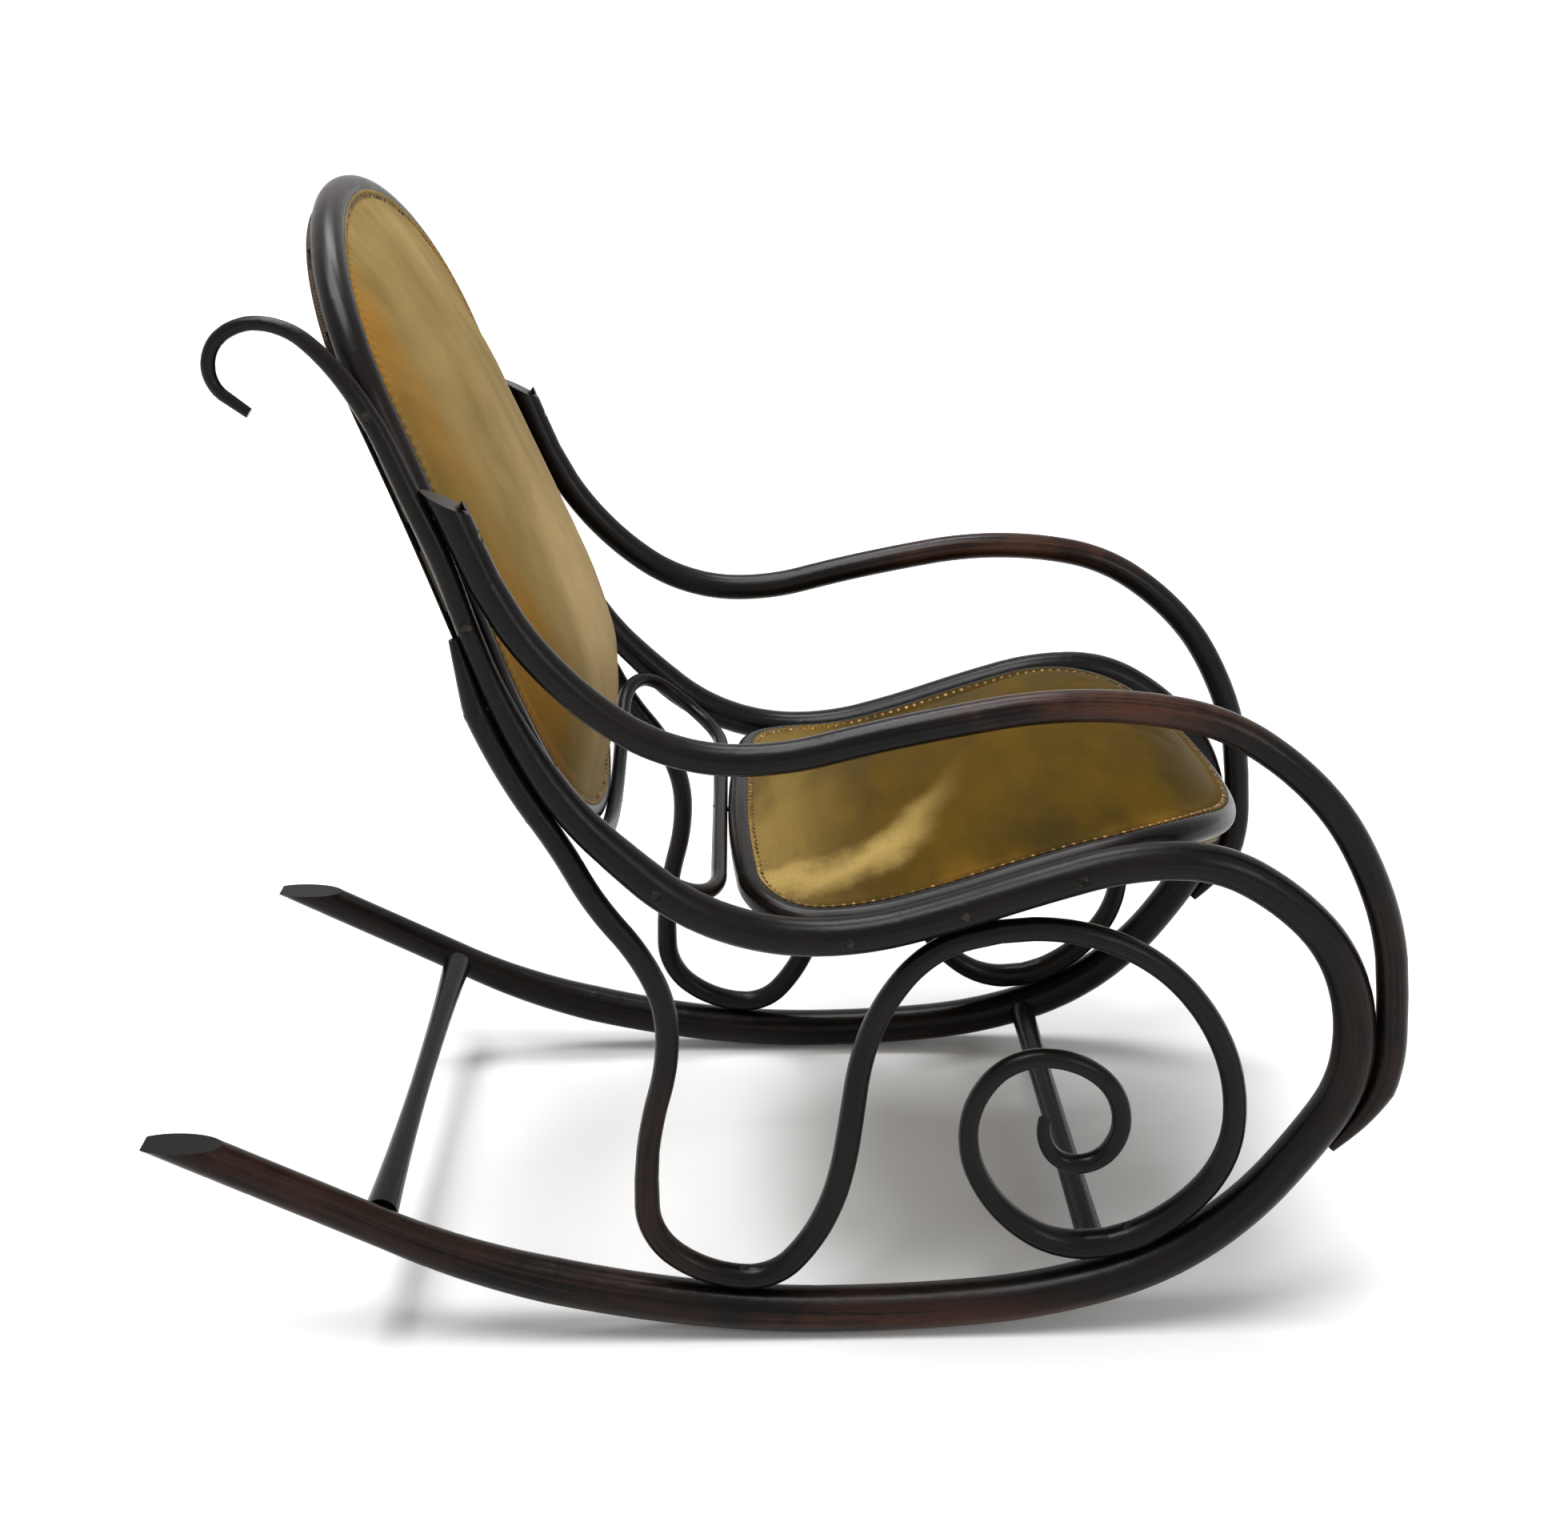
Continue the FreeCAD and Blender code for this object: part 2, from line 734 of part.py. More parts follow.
def beveled(shape, corner, slope, outward):
    """Cut off all that lies on the outward side of a plane through a corner."""
    reach = 200
    block = Part.makeBox(reach, reach, reach)
    across = slope.cross(outward)
    turn = Rotation(slope, across * -1, outward, "ZXY")
    middle = corner - slope * (reach / 2) + across * (reach / 2)
    block.Placement = Placement(middle, turn)
    return shape.cut(block).Solids[0]


def tail_bevel(shape):
    point, way, radius = side_rail.at(side_rail.reach[-1])
    back = way * -1
    upward = Vector(-back.z, 0, back.x)
    slope_angle = math.radians(size("tail_bevel"))
    slope = back * math.cos(slope_angle) + upward * math.sin(slope_angle)
    outward = upward * math.cos(slope_angle) - back * math.sin(slope_angle)
    corner = point - upward * (radius - size("tail_edge"))
    return beveled(shape, corner, slope, outward)


def arm_end_bevel(shape):
    point, way, radius = arm.at(0)
    forward = Vector(-way.z, 0, way.x)
    angle = math.radians(size("arm_bevel"))
    slope = forward * math.cos(angle) + way * math.sin(angle)
    outward = forward * math.sin(angle) - way * math.cos(angle)
    return beveled(shape, point - forward * radius, slope, outward)


rail_blank = tail_bevel(drilled(side_rail.solid(), arm_screws() + leg_screws()))
leg_blank = drilled(scroll_leg.solid(), leg_screws())
arm_blank = arm_end_bevel(drilled(arm.solid(), arm_screws()))

# Stretchers: turned rods whose round tenons sit in holes of the runners


def stretcher_spot(name):
    return runner_at(size(name + "_x"))


def shoulder_y(name):
    return frame_y - stretcher_spot(name)[2] - size("shoulder_gap")


def tenon_hole(name, side):
    spot = stretcher_spot(name)[0]
    depth = size("tenon_len") + 2 * size("fit_gap")
    hole = Part.makeCylinder(size("tenon_dia") / 2 + size("screw_play"), depth)
    start = Vector(spot.x, side * shoulder_y(name), spot.z)
    hole.Placement = Placement(start, Rotation(Z_AXIS, Y_AXIS * side))
    return hole


STRETCHERS = ("rear_stretcher", "front_stretcher")

# Upholstery: pads inside the rings, built from sections across the chair


def pad_section(centre, upward, half, below, rim, crown):
    """Closed outline across the chair: flat below, upright sides and an arched top."""
    low_right = centre - Y_AXIS * half - upward * below
    low_left = centre + Y_AXIS * half - upward * below
    high_left = centre + Y_AXIS * half + upward * rim
    high_right = centre - Y_AXIS * half + upward * rim
    peak = centre + upward * (rim + crown)
    return Part.Wire(
        [
            Part.LineSegment(low_right, low_left).toShape(),
            Part.LineSegment(low_left, high_left).toShape(),
            Part.Arc(high_left, peak, high_right).toShape(),
            Part.LineSegment(high_right, low_right).toShape(),
        ]
    )


def crown_share(position, length):
    """Rise of a pad along its length: from little at both ends to full inside."""
    near = min(position, length - position) / (CROWN_EDGE * length)
    if near >= 1:
        return 1
    return max(CROWN_LEAST, math.sqrt(1 - (1 - near) ** 2))


def seat_outline(inset):
    """Half widths of the seat pad: (place along X, half width) from rear to front."""
    inner = ring_radius + size("pad_gap") + inset
    side = seat_half_width - inner
    corner = seat_corner - inner + size("pad_corner_ease")
    corner_x = seat_rear_x + seat_bow + inner + corner
    rows = []
    for turn in (90, 65, 45, 25, 0):
        angle = math.radians(turn)
        rows.append((corner_x - corner * math.sin(angle), side - corner + corner * math.cos(angle)))
    straight = seat_curve_x - corner_x
    for share in (0.2, 0.4, 0.6, 0.8, 1):
        rows.append((corner_x + straight * share, side))
    for turn in FRONT_TURNS:
        angle = math.radians(turn)
        rows.append((seat_curve_x + (seat_front_depth - inner) * math.sin(angle), side * math.cos(angle)))
    return rows


def back_pad_outline(inset):
    """Half widths of the back pad: (distance down, half width) from top to bottom."""
    inner = back_radius + size("pad_gap") + inset
    rows = [upper_round(1 - turn / 90, inner) for turn in reversed(FRONT_TURNS)]
    straight = back_foot_start - back_top_round
    for share in (0, 0.25, 0.5, 0.75, 1):
        rows.append((back_top_round + straight * share, back_half_width - inner))
    rows += [lower_round(turn / 90, inner) for turn in FRONT_TURNS]
    return rows


def seat_upright(forward):
    """Upward direction of the seat where the wave crosses a place along X."""
    way = rail_seat_at(forward)[1]
    return Vector(-way.z, 0, way.x)


def pad(rows, place, upward, below, rim, crown):
    length = rows[-1][0] - rows[0][0]
    sections = []
    for along, half in rows:
        rise = crown * crown_share(along - rows[0][0], length) * half / rows[len(rows) // 2][1]
        sections.append(pad_section(place(along), upward, half, below, rim, rise))
    return Part.makeLoft(sections, True, False)


def seat_middle(forward):
    return on_wave(forward, 0)


def back_middle(down):
    return back_place(down, 0)


def seat_pad(inset, below):
    rim = size("seat_pad_rim") - inset
    return pad(seat_outline(inset), seat_middle, Z_AXIS, below, rim, size("seat_pad_crown"))


def back_pad(inset, below):
    rim = size("back_pad_rim") - inset
    rows = back_pad_outline(inset)
    return pad(rows, back_middle, back_front, below, rim, size("back_pad_crown"))


def layer_of(make_pad, ring, inset, thickness):
    """Layer over the top and sides of a pad, inset from its skin and open below."""
    depth = ring - size("pad_lift")
    return make_pad(inset, depth).cut(make_pad(inset + thickness, depth + thickness)).Solids[0]


def cover_of(make_pad, ring):
    return layer_of(make_pad, ring, 0, size("cover_thk"))


def band(place, normal_at, start, end, offset, thickness, width):
    """Strip across the chair which follows a curved line at an offset below it."""
    steps = math.ceil(abs(end - start) / BAND_STEP)
    rows = []
    for level in (offset, offset + thickness):
        points = []
        for step in range(steps + 1):
            along = start + (end - start) * step / steps
            points.append(place(along) - normal_at(along) * level)
        curve = Part.BSplineCurve()
        curve.interpolate(points)
        rows.append(curve)
    ends = [Part.LineSegment(rows[0].StartPoint, rows[1].StartPoint)]
    ends.append(Part.LineSegment(rows[0].EndPoint, rows[1].EndPoint))
    edges = [curve.toShape() for curve in rows + ends]
    strip = Part.Face(Part.Wire(Part.__sortEdges__(edges))).extrude(Y_AXIS * width)
    strip.translate(Y_AXIS * (-width / 2))
    return strip


def strap_places(start, end):
    """Middles of the straps that fit between start and end, evenly about the middle."""
    pitch = size("web_pitch")
    count = int((end - start) // pitch) + 1
    first = (start + end) / 2 - pitch * (count - 1) / 2
    return [first + pitch * number for number in range(count)]


def webbing(place, normal_at, ring, start, end, half_width, field):
    """Straps across the chair below a ring, and straps along it below those."""
    cloth = size("web_thk")
    half_strap = size("web_width") / 2
    upper = ring + size("layer_gap")
    lower = upper + cloth + size("layer_gap")
    inner = ring + half_strap
    straps = []
    for along in strap_places(start + inner, end - inner):
        first = along - half_strap
        last = along + half_strap
        straps.append(band(place, normal_at, first, last, upper, cloth, 2 * half_width))
    for across in strap_places(inner - half_width, half_width - inner):
        strap = band(place, normal_at, start, end, lower, cloth, 2 * half_strap)
        strap.translate(Y_AXIS * across)
        straps.append(strap)
    return Part.makeCompound([strap.common(field).Solids[0] for strap in straps])


def under_cloth(place, normal_at, ring, start, end, half_width, field):
    """Thin cloth that closes the underside of a pad, below its webbing."""
    top = ring + 2 * size("web_thk") + 3 * size("layer_gap")
    sheet_blank = band(place, normal_at, start, end, top, size("lining_thk"), 2 * half_width)
    return sheet_blank.common(field).Solids[0]


def back_normal(down):
    return back_front


def upholstery_nail():
    """Domed head on a straight shank, with the head's underside at height 0."""
    rim = size("nail_head_dia") / 2
    rise = size("nail_head_rise")
    depth = size("nail_shank_len")
    ball = (rim ** 2 + rise ** 2) / (2 * rise)
    rim_latitude = math.degrees(math.asin((ball - rise) / ball))
    head = Part.makeSphere(ball, Vector(0, 0, rise - ball), Z_AXIS, rim_latitude, 90)
    shank = Part.makeCylinder(size("nail_shank_dia") / 2, depth, Vector(0, 0, -depth))
    return head.fuse(shank).Solids[0]


def nail_row(half_ring, upright_at, middle):
    """Upholstery nails all round a ring, leaning towards the pad inside it."""
    lean = math.radians(size("nail_lean"))
    count = round(half_ring.reach[-1] / size("nail_pitch"))
    nail = upholstery_nail()
    nails = []
    for number in range(count):
        point, way, radius = half_ring.at(half_ring.reach[-1] * (number + 0.5) / count)
        rough = upright_at(point)
        above = (rough - way * rough.dot(way)).normalize()
        inward = above.cross(way)
        if inward.dot(middle - point) < 0:
            inward = inward * -1
        axis = above * math.cos(lean) + inward * math.sin(lean)
        seat = point + axis * (radius + NAIL_LIFT)
        for side in (-1, 1):
            one = nail.copy()
            mirrored = Vector(axis.x, axis.y * side, axis.z)
            place = Vector(seat.x, seat.y * side, seat.z)
            one.Placement = Placement(place, Rotation(Z_AXIS, mirrored))
            nails.append(one)
    return Part.makeCompound(nails)


# The pieces


def add(name, shape):
    piece = doc.addObject("Part::Feature", name)
    piece.Label = name
    piece.Shape = shape


def on_side(shape, side):
    placed = shape.copy()
    placed.translate(Y_AXIS * (side * frame_y))
    return placed


def side_frame(word, side):
    crosswise = seat_ring_screws(side) + back_ring_screws(side) + [hoop_end_screw(side)]
    rail = drilled(on_side(rail_blank, side), crosswise)
    for name in STRETCHERS:
        rail = rail.cut(tenon_hole(name, side)).Solids[0]
    add(word + "_side_rail", rail)
    add(word + "_scroll_leg", on_side(leg_blank, side))
    add(word + "_arm", on_side(arm_blank, side))


def screws_on_both_sides(make_screws):
    return [screw for _, side in SIDES for screw in make_screws(side)]


def frame_screws(screws):
    """The same screws of a side frame's plane in both frames."""
    solids = [on_side(screw.solid(), side) for _, side in SIDES for screw in screws]
    return Part.makeCompound(solids)


def screw_group(screws):
    return Part.makeCompound([screw.solid() for screw in screws])


def bound(sketch, constraint, expression):
    index = sketch.addConstraint(constraint)
    sketch.setExpression("Constraints[%d]" % index, expression)


def stretcher(name):
    """Turned rod with a waist and a round tenon at each end."""
    spot, _, runner_radius = stretcher_spot(name)
    body = doc.addObject("PartDesign::Body", name)
    body.Label = name
    sketch = body.newObject("Sketcher::SketchObject", name + "_profile")
    planes = [item for item in body.Origin.OriginFeatures if item.Role == "XY_Plane"]
    sketch.AttachmentSupport = (planes[0], [""])
    sketch.MapMode = "FlatFace"
    shoulder = shoulder_y(name)
    tip = shoulder + size("tenon_len")
    tenon = size("tenon_dia") / 2
    middle = size(name + "_mid_dia") / 2
    end = size(name + "_end_dia") / 2
    corners = [(-tip, 0), (-tip, tenon), (-shoulder, tenon), (-shoulder, end)]
    corners += [(-across, height) for across, height in reversed(corners)]
    points = [Vector(across, height, 0) for across, height in corners]
    waist = Part.Arc(points[3], Vector(0, middle, 0), points[4])
    sketch.addGeometry(Part.LineSegment(points[7], points[0]), False)
    for first in (0, 1, 2):
        sketch.addGeometry(Part.LineSegment(points[first], points[first + 1]), False)
    sketch.addGeometry(waist, False)
    for first in (4, 5, 6):
        sketch.addGeometry(Part.LineSegment(points[first], points[first + 1]), False)
    for first in range(7):
        joined = Sketcher.Constraint("Coincident", first, 2, first + 1, 1)
        sketch.addConstraint(joined)
    sketch.addConstraint(Sketcher.Constraint("Coincident", 7, 2, 0, 1))
    sketch.addConstraint(Sketcher.Constraint("PointOnObject", 0, 1, -1))
    for upright_line in (1, 3, 5, 7):
        sketch.addConstraint(Sketcher.Constraint("Vertical", upright_line))
    for level_line in (2, 6):
        sketch.addConstraint(Sketcher.Constraint("Horizontal", level_line))
    sketch.addConstraint(Sketcher.Constraint("Symmetric", 0, 1, 0, 2, -2))
    sketch.addConstraint(Sketcher.Constraint("Equal", 3, 5))
    sketch.addConstraint(Sketcher.Constraint("Symmetric", 3, 2, 5, 1, -2))
    reach = "sizes.frame_spacing / 2 - sizes.shoulder_gap - %r" % runner_radius
    bound(sketch, Sketcher.Constraint("DistanceX", 3, 2, 5, 1, 2 * shoulder), "2 * (%s)" % reach)
    bound(sketch, Sketcher.Constraint("DistanceX", 1, 2, 2, 2, size("tenon_len")), "sizes.tenon_len")
    bound(sketch, Sketcher.Constraint("DistanceY", 1, 1, 1, 2, tenon), "sizes.tenon_dia / 2")
    step = "(sizes.%s_end_dia - sizes.tenon_dia) / 2" % name
    bound(sketch, Sketcher.Constraint("DistanceY", 3, 1, 3, 2, end - tenon), step)
    drop = "(sizes.%s_end_dia - sizes.%s_mid_dia) / 2" % (name, name)
    sagitta = end - middle
    curve = Sketcher.Constraint("Radius", 4, (shoulder ** 2 + sagitta ** 2) / (2 * sagitta))
    bound(sketch, curve, "((%s) ^ 2 + (%s) ^ 2) / (2 * (%s))" % (reach, drop, drop))
    turning = body.newObject("PartDesign::Revolution", name + "_turning")
    turning.Profile = sketch
    turning.ReferenceAxis = (sketch, ["H_Axis"])
    turning.Angle = 360
    body.Placement = Placement(Vector(spot.x, 0, spot.z), Rotation(Z_AXIS, 90))


seat_half_ring = Rod(seat_ring_stations(), Z_AXIS)
back_half_ring = Rod(back_ring_stations(), back_front)
seat_screws = screws_on_both_sides(seat_ring_screws)
back_screws = screws_on_both_sides(back_ring_screws)
hoop_screws = [hoop_end_screw(side) for _, side in SIDES] + hoop_middle_screws

for side_word, side_sign in SIDES:
    side_frame(side_word, side_sign)
for stretcher_name in STRETCHERS:
    stretcher(stretcher_name)

add("seat_ring", drilled(closed_ring(seat_half_ring), seat_screws + hoop_middle_screws[1:]))
add("back_ring", drilled(closed_ring(back_half_ring), back_screws + hoop_middle_screws[:1]))
add("connecting_hoop", drilled(closed_ring(Rod(hoop_stations(), Z_AXIS)), hoop_screws))

under_cover = size("cover_thk") + size("layer_gap")
seat_span = (seat_rear_x - seat_bow, size("seat_ring_front"), seat_half_width)
seat_field = seat_pad(-ring_radius - size("pad_gap"), FIELD_DEPTH)
add("seat_cover", cover_of(seat_pad, ring_radius))
add("seat_stuffing", seat_pad(under_cover, ring_radius - size("pad_lift")))
add("seat_webbing", webbing(seat_middle, seat_upright, ring_radius, *seat_span, seat_field))
add("seat_bottom_cloth", under_cloth(seat_middle, seat_upright, ring_radius, *seat_span, seat_field))
add("seat_nails", nail_row(seat_half_ring, lambda point: seat_upright(point.x), seat_middle(0)))

back_span = (0, back_length, back_half_width)
back_field = back_pad(-back_radius - size("pad_gap"), FIELD_DEPTH)
add("back_cover", cover_of(back_pad, back_radius))
add("back_stuffing", layer_of(back_pad, back_radius, under_cover, size("back_stuffing_thk")))
add("back_webbing", webbing(back_middle, back_normal, back_radius, *back_span, back_field))
add("back_lining", under_cloth(back_middle, back_normal, back_radius, *back_span, back_field))
add("back_nails", nail_row(back_half_ring, lambda point: back_front, back_middle(back_length / 2)))

add("arm_screws", frame_screws(arm_screws()))
add("leg_screws", frame_screws(leg_screws()))
add("seat_ring_screws", screw_group(seat_screws))
add("back_ring_screws", screw_group(back_screws))
add("hoop_screws", screw_group(hoop_screws))

# Checks and files


def pieces():
    return [item for item in doc.Objects if item.TypeId in ("Part::Feature", "PartDesign::Body")]


def check():
    doc.recompute()
    for item in doc.Objects:
        for state in item.State:
            if state in ("Invalid", "Error"):
                raise RuntimeError("%s: %s" % (item.Label, state))
    for piece in pieces():
        if piece.Shape.isNull() or not piece.Shape.isValid() or not piece.Shape.Solids:
            raise RuntimeError("%s: unusable shape" % piece.Label)
        for solid in piece.Shape.Solids:
            if not solid.isValid() or solid.Volume <= 0:
                raise RuntimeError("%s: unusable solid" % piece.Label)


def write():
    os.makedirs("parts", exist_ok=True)
    for piece in pieces():
        piece.Shape.exportStep(os.path.join("parts", piece.Label + ".step"))


check()
write()
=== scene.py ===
import math
from collections import namedtuple

import bmesh
import bpy
import numpy as np
from mathutils import Euler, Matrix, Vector
from mathutils import noise as smooth_noise
from mathutils.bvhtree import BVHTree


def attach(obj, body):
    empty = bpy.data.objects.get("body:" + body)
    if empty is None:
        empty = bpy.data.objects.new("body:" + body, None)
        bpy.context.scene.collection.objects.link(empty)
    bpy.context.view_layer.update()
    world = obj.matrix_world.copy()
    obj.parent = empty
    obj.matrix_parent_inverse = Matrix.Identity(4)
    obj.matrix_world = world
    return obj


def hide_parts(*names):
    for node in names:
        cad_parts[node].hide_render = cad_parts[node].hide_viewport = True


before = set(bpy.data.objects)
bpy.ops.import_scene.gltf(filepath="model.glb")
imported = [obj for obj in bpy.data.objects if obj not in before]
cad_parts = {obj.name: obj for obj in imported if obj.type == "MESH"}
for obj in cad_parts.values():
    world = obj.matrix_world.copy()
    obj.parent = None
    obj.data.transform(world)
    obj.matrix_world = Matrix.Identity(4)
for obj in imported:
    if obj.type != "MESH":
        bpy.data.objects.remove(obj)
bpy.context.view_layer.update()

# Bentwood rocking chair: dark polished rods, gold pile upholstery with close-set nails.
# Metres; +X is the chair's front, +Y the sitter's left, +Z up.

scene = bpy.context.scene

# The photograph's camera: image and focal length in pixels, sensor in millimetres

IMAGE_WIDTH = 1960
FOCAL_PIXELS = 2250
SENSOR_WIDTH = 36
CAMERA_PLACE = Vector((-0.0807, -1.5654, 1.053))
CAMERA_YAW = math.radians(1.48)
CAMERA_PITCH = math.radians(21.15)


def add_camera():
    data = bpy.data.cameras.new("camera")
    data.sensor_width = SENSOR_WIDTH
    data.lens = FOCAL_PIXELS * SENSOR_WIDTH / IMAGE_WIDTH
    camera = bpy.data.objects.new("camera", data)
    camera.location = CAMERA_PLACE
    camera.rotation_euler = Euler((math.pi / 2 - CAMERA_PITCH, 0, -CAMERA_YAW))
    scene.collection.objects.link(camera)
    scene.camera = camera


# Material building

SHADER_INPUTS = {
    "color": "Base Color",
    "rough": "Roughness",
    "metal": "Metallic",
    "sheen": "Sheen Weight",
    "sheen_rough": "Sheen Roughness",
    "sheen_tint": "Sheen Tint",
    "specular": "Specular IOR Level",
    "glow": "Emission Color",
    "glow_strength": "Emission Strength",
}

# The Mix node's colour sockets share their names with others, so they are taken by number

MIX_SHARE = 0
MIX_FIRST = 6
MIX_SECOND = 7
MIX_RESULT = 2


class Material:
    """A node material on one Principled shader, with short calls for its nodes."""

    def __init__(self, name):
        self.material = bpy.data.materials.new(name)
        self.material.use_nodes = True
        self.nodes = self.material.node_tree.nodes
        self.links = self.material.node_tree.links
        self.shader = self.nodes["Principled BSDF"]
        self.place = self.nodes.new("ShaderNodeTexCoord").outputs["Object"]
        self.normal = self.nodes.new("ShaderNodeNewGeometry").outputs["Normal"]

    def feed(self, socket, value):
        """Another node's output linked to the socket, or a plain value set on it."""
        if isinstance(value, bpy.types.NodeSocket):
            self.links.new(value, socket)
        else:
            socket.default_value = value

    def math(self, operation, first, second=0.0):
        node = self.nodes.new("ShaderNodeMath")
        node.operation = operation
        self.feed(node.inputs[0], first)
        self.feed(node.inputs[1], second)
        return node.outputs[0]

    def plus(self, first, second):
        return self.math("ADD", first, second)

    def times(self, first, second):
        return self.math("MULTIPLY", first, second)

    def larger(self, first, second):
        return self.math("MAXIMUM", first, second)

    def vector_math(self, operation, first, second, output=0):
        node = self.nodes.new("ShaderNodeVectorMath")
        node.operation = operation
        self.feed(node.inputs[0], first)
        self.feed(node.inputs[1], second)
        return node.outputs[output]

    def dot(self, first, second):
        return self.vector_math("DOT_PRODUCT", first, second, "Value")

    def scaled(self, vector, factors):
        return self.vector_math("MULTIPLY", vector, factors)

    def added(self, first, second):
        return self.vector_math("ADD", first, second)

    def length(self, vector):
        return self.math("SQRT", self.dot(vector, vector))

    def threefold(self, value):
        """Vector with the value in all three places."""
        node = self.nodes.new("ShaderNodeCombineXYZ")
        for socket in node.inputs:
            self.feed(socket, value)
        return node.outputs[0]

    def coordinate(self, letter):
        """X, Y or Z of the shaded place, in the chair's frame."""
        node = self.nodes.new("ShaderNodeSeparateXYZ")
        self.feed(node.inputs[0], self.place)
        return node.outputs[letter]

    def noise(self, vector, scale, detail=3.0, rough=0.5):
        node = self.nodes.new("ShaderNodeTexNoise")
        self.feed(node.inputs["Vector"], vector)
        node.inputs["Scale"].default_value = scale
        node.inputs["Detail"].default_value = detail
        node.inputs["Roughness"].default_value = rough
        return node.outputs["Fac"]

    def wave(self, vector, scale, direction, distortion):
        node = self.nodes.new("ShaderNodeTexWave")
        node.bands_direction = direction
        self.feed(node.inputs["Vector"], vector)
        node.inputs["Scale"].default_value = scale
        node.inputs["Distortion"].default_value = distortion
        return node.outputs["Fac"]

    def between(self, value, span, out=(0.0, 1.0)):
        """Value mapped smoothly from a span of two values to the two values of out."""
        node = self.nodes.new("ShaderNodeMapRange")
        node.interpolation_type = "SMOOTHSTEP"
        self.feed(node.inputs["Value"], value)
        for word, number in zip(("From Min", "From Max", "To Min", "To Max"), (*span, *out)):
            node.inputs[word].default_value = number
        return node.outputs["Result"]

    def mix(self, share, first, second):
        node = self.nodes.new("ShaderNodeMix")
        node.data_type = "RGBA"
        self.feed(node.inputs[MIX_SHARE], share)
        self.feed(node.inputs[MIX_FIRST], first)
        self.feed(node.inputs[MIX_SECOND], second)
        return node.outputs[MIX_RESULT]

    def bump(self, height, strength, distance):
        node = self.nodes.new("ShaderNodeBump")
        node.inputs["Strength"].default_value = strength
        node.inputs["Distance"].default_value = distance
        self.feed(node.inputs["Height"], height)
        self.links.new(node.outputs[0], self.shader.inputs["Normal"])

    def set(self, **values):
        for word, value in values.items():
            self.feed(self.shader.inputs[SHADER_INPUTS[word]], value)


def color(red, green, blue):
    return (red, green, blue, 1.0)


WHITE = color(1, 1, 1)

# Wood: the grain follows each rod, because a line along a rod keeps the same normal component

EBONY = color(0.0016, 0.0014, 0.0013)
BROWN_BLACK = color(0.0058, 0.0042, 0.0034)
WORN_RED = color(0.050, 0.019, 0.011)
GRAIN_ALONG = (7.0, 7.0, 7.0)
GRAIN_AROUND = (15.0, -11.0, 13.0)
GRAIN_SHARE = 0.6
TONE_SPAN = (0.38, 0.66)
THIN_FINISH = (0.82, 1.16)
POLISH_SPAN = (0.7, 1.3)
POLISH_ROUGHNESS = (0.22, 0.36)
WOOD_RELIEF = 0.0007
FINE_RELIEF = 0.5


def bentwood(name, plane_normal, worn_at):
    """Dark polished beech. worn_at(material) gives the share of rubbed-through finish."""
    wood = Material(name)
    around = wood.threefold(wood.dot(wood.normal, plane_normal))
    grain_place = wood.added(wood.scaled(wood.place, GRAIN_ALONG), wood.scaled(around, GRAIN_AROUND))
    grain = wood.noise(grain_place, scale=1.0, detail=5.0, rough=0.62)
    fine = wood.noise(grain_place, scale=3.4, detail=3.0, rough=0.6)
    patches = wood.noise(wood.place, scale=9.0, detail=4.0, rough=0.6)
    tone = wood.plus(wood.times(grain, GRAIN_SHARE), wood.times(patches, 1 - GRAIN_SHARE))
    dark = wood.mix(wood.between(tone, TONE_SPAN), EBONY, BROWN_BLACK)
    rubbed = wood.times(worn_at(wood), wood.between(wood.plus(grain, patches), THIN_FINISH))
    wood.set(
        color=wood.mix(rubbed, dark, WORN_RED),
        rough=wood.between(wood.plus(patches, fine), POLISH_SPAN, POLISH_ROUGHNESS),
        specular=0.12,
    )
    pores = wood.noise(wood.place, scale=55.0, detail=3.0, rough=0.55)
    relief = wood.plus(wood.times(fine, FINE_RELIEF), pores)
    wood.bump(relief, strength=0.14, distance=WOOD_RELIEF)
    return wood.material


# Wear of a side frame: it sets in at the first height and forward place, and is full at the second

CREST_WEAR = {"heights": (0.545, 0.592), "forward": (0.005, 0.145), "most": 1.0}
FRONT_WEAR = {"heights": (0.50, 0.36), "forward": (0.395, 0.475), "most": 0.3}
FLOOR_WEAR = {"heights": (0.05, 0.012), "forward": (-0.275, -0.025), "most": 0.9}
LEG_WEAR = {"heights": (0.30, 0.20), "forward": (-0.095, -0.175), "most": 0.35}
LEFT_TO_RIGHT = (0.1, -0.1)
WEAR_BY_SIDE = (0.15, 1.0)
LIGHT_WEAR_SPAN = (0.5, 0.75)
LIGHT_WEAR = (0.0, 0.15)


def rubbed_place(wood, heights, forward, most):
    """Share of rubbed-through finish by height and by place forward."""
    by_height = wood.between(wood.coordinate("Z"), heights, (0.0, most))
    return wood.times(by_height, wood.between(wood.coordinate("X"), forward))


def frame_wear(wood):
    """Rubbed arm crest on both sides; front, runner and leg rubbed more at the right."""
    low = rubbed_place(wood, **FRONT_WEAR)
    for place in (FLOOR_WEAR, LEG_WEAR):
        low = wood.larger(low, rubbed_place(wood, **place))
    right = wood.between(wood.coordinate("Y"), LEFT_TO_RIGHT, WEAR_BY_SIDE)
    return wood.larger(rubbed_place(wood, **CREST_WEAR), wood.times(low, right))


def light_wear(wood):
    """Slight wear in patches, the same on all sides."""
    return wood.between(wood.noise(wood.place, scale=5.0), LIGHT_WEAR_SPAN, LIGHT_WEAR)


# Gold pile cloth: deep, middle and pale tones, and its rusty edge

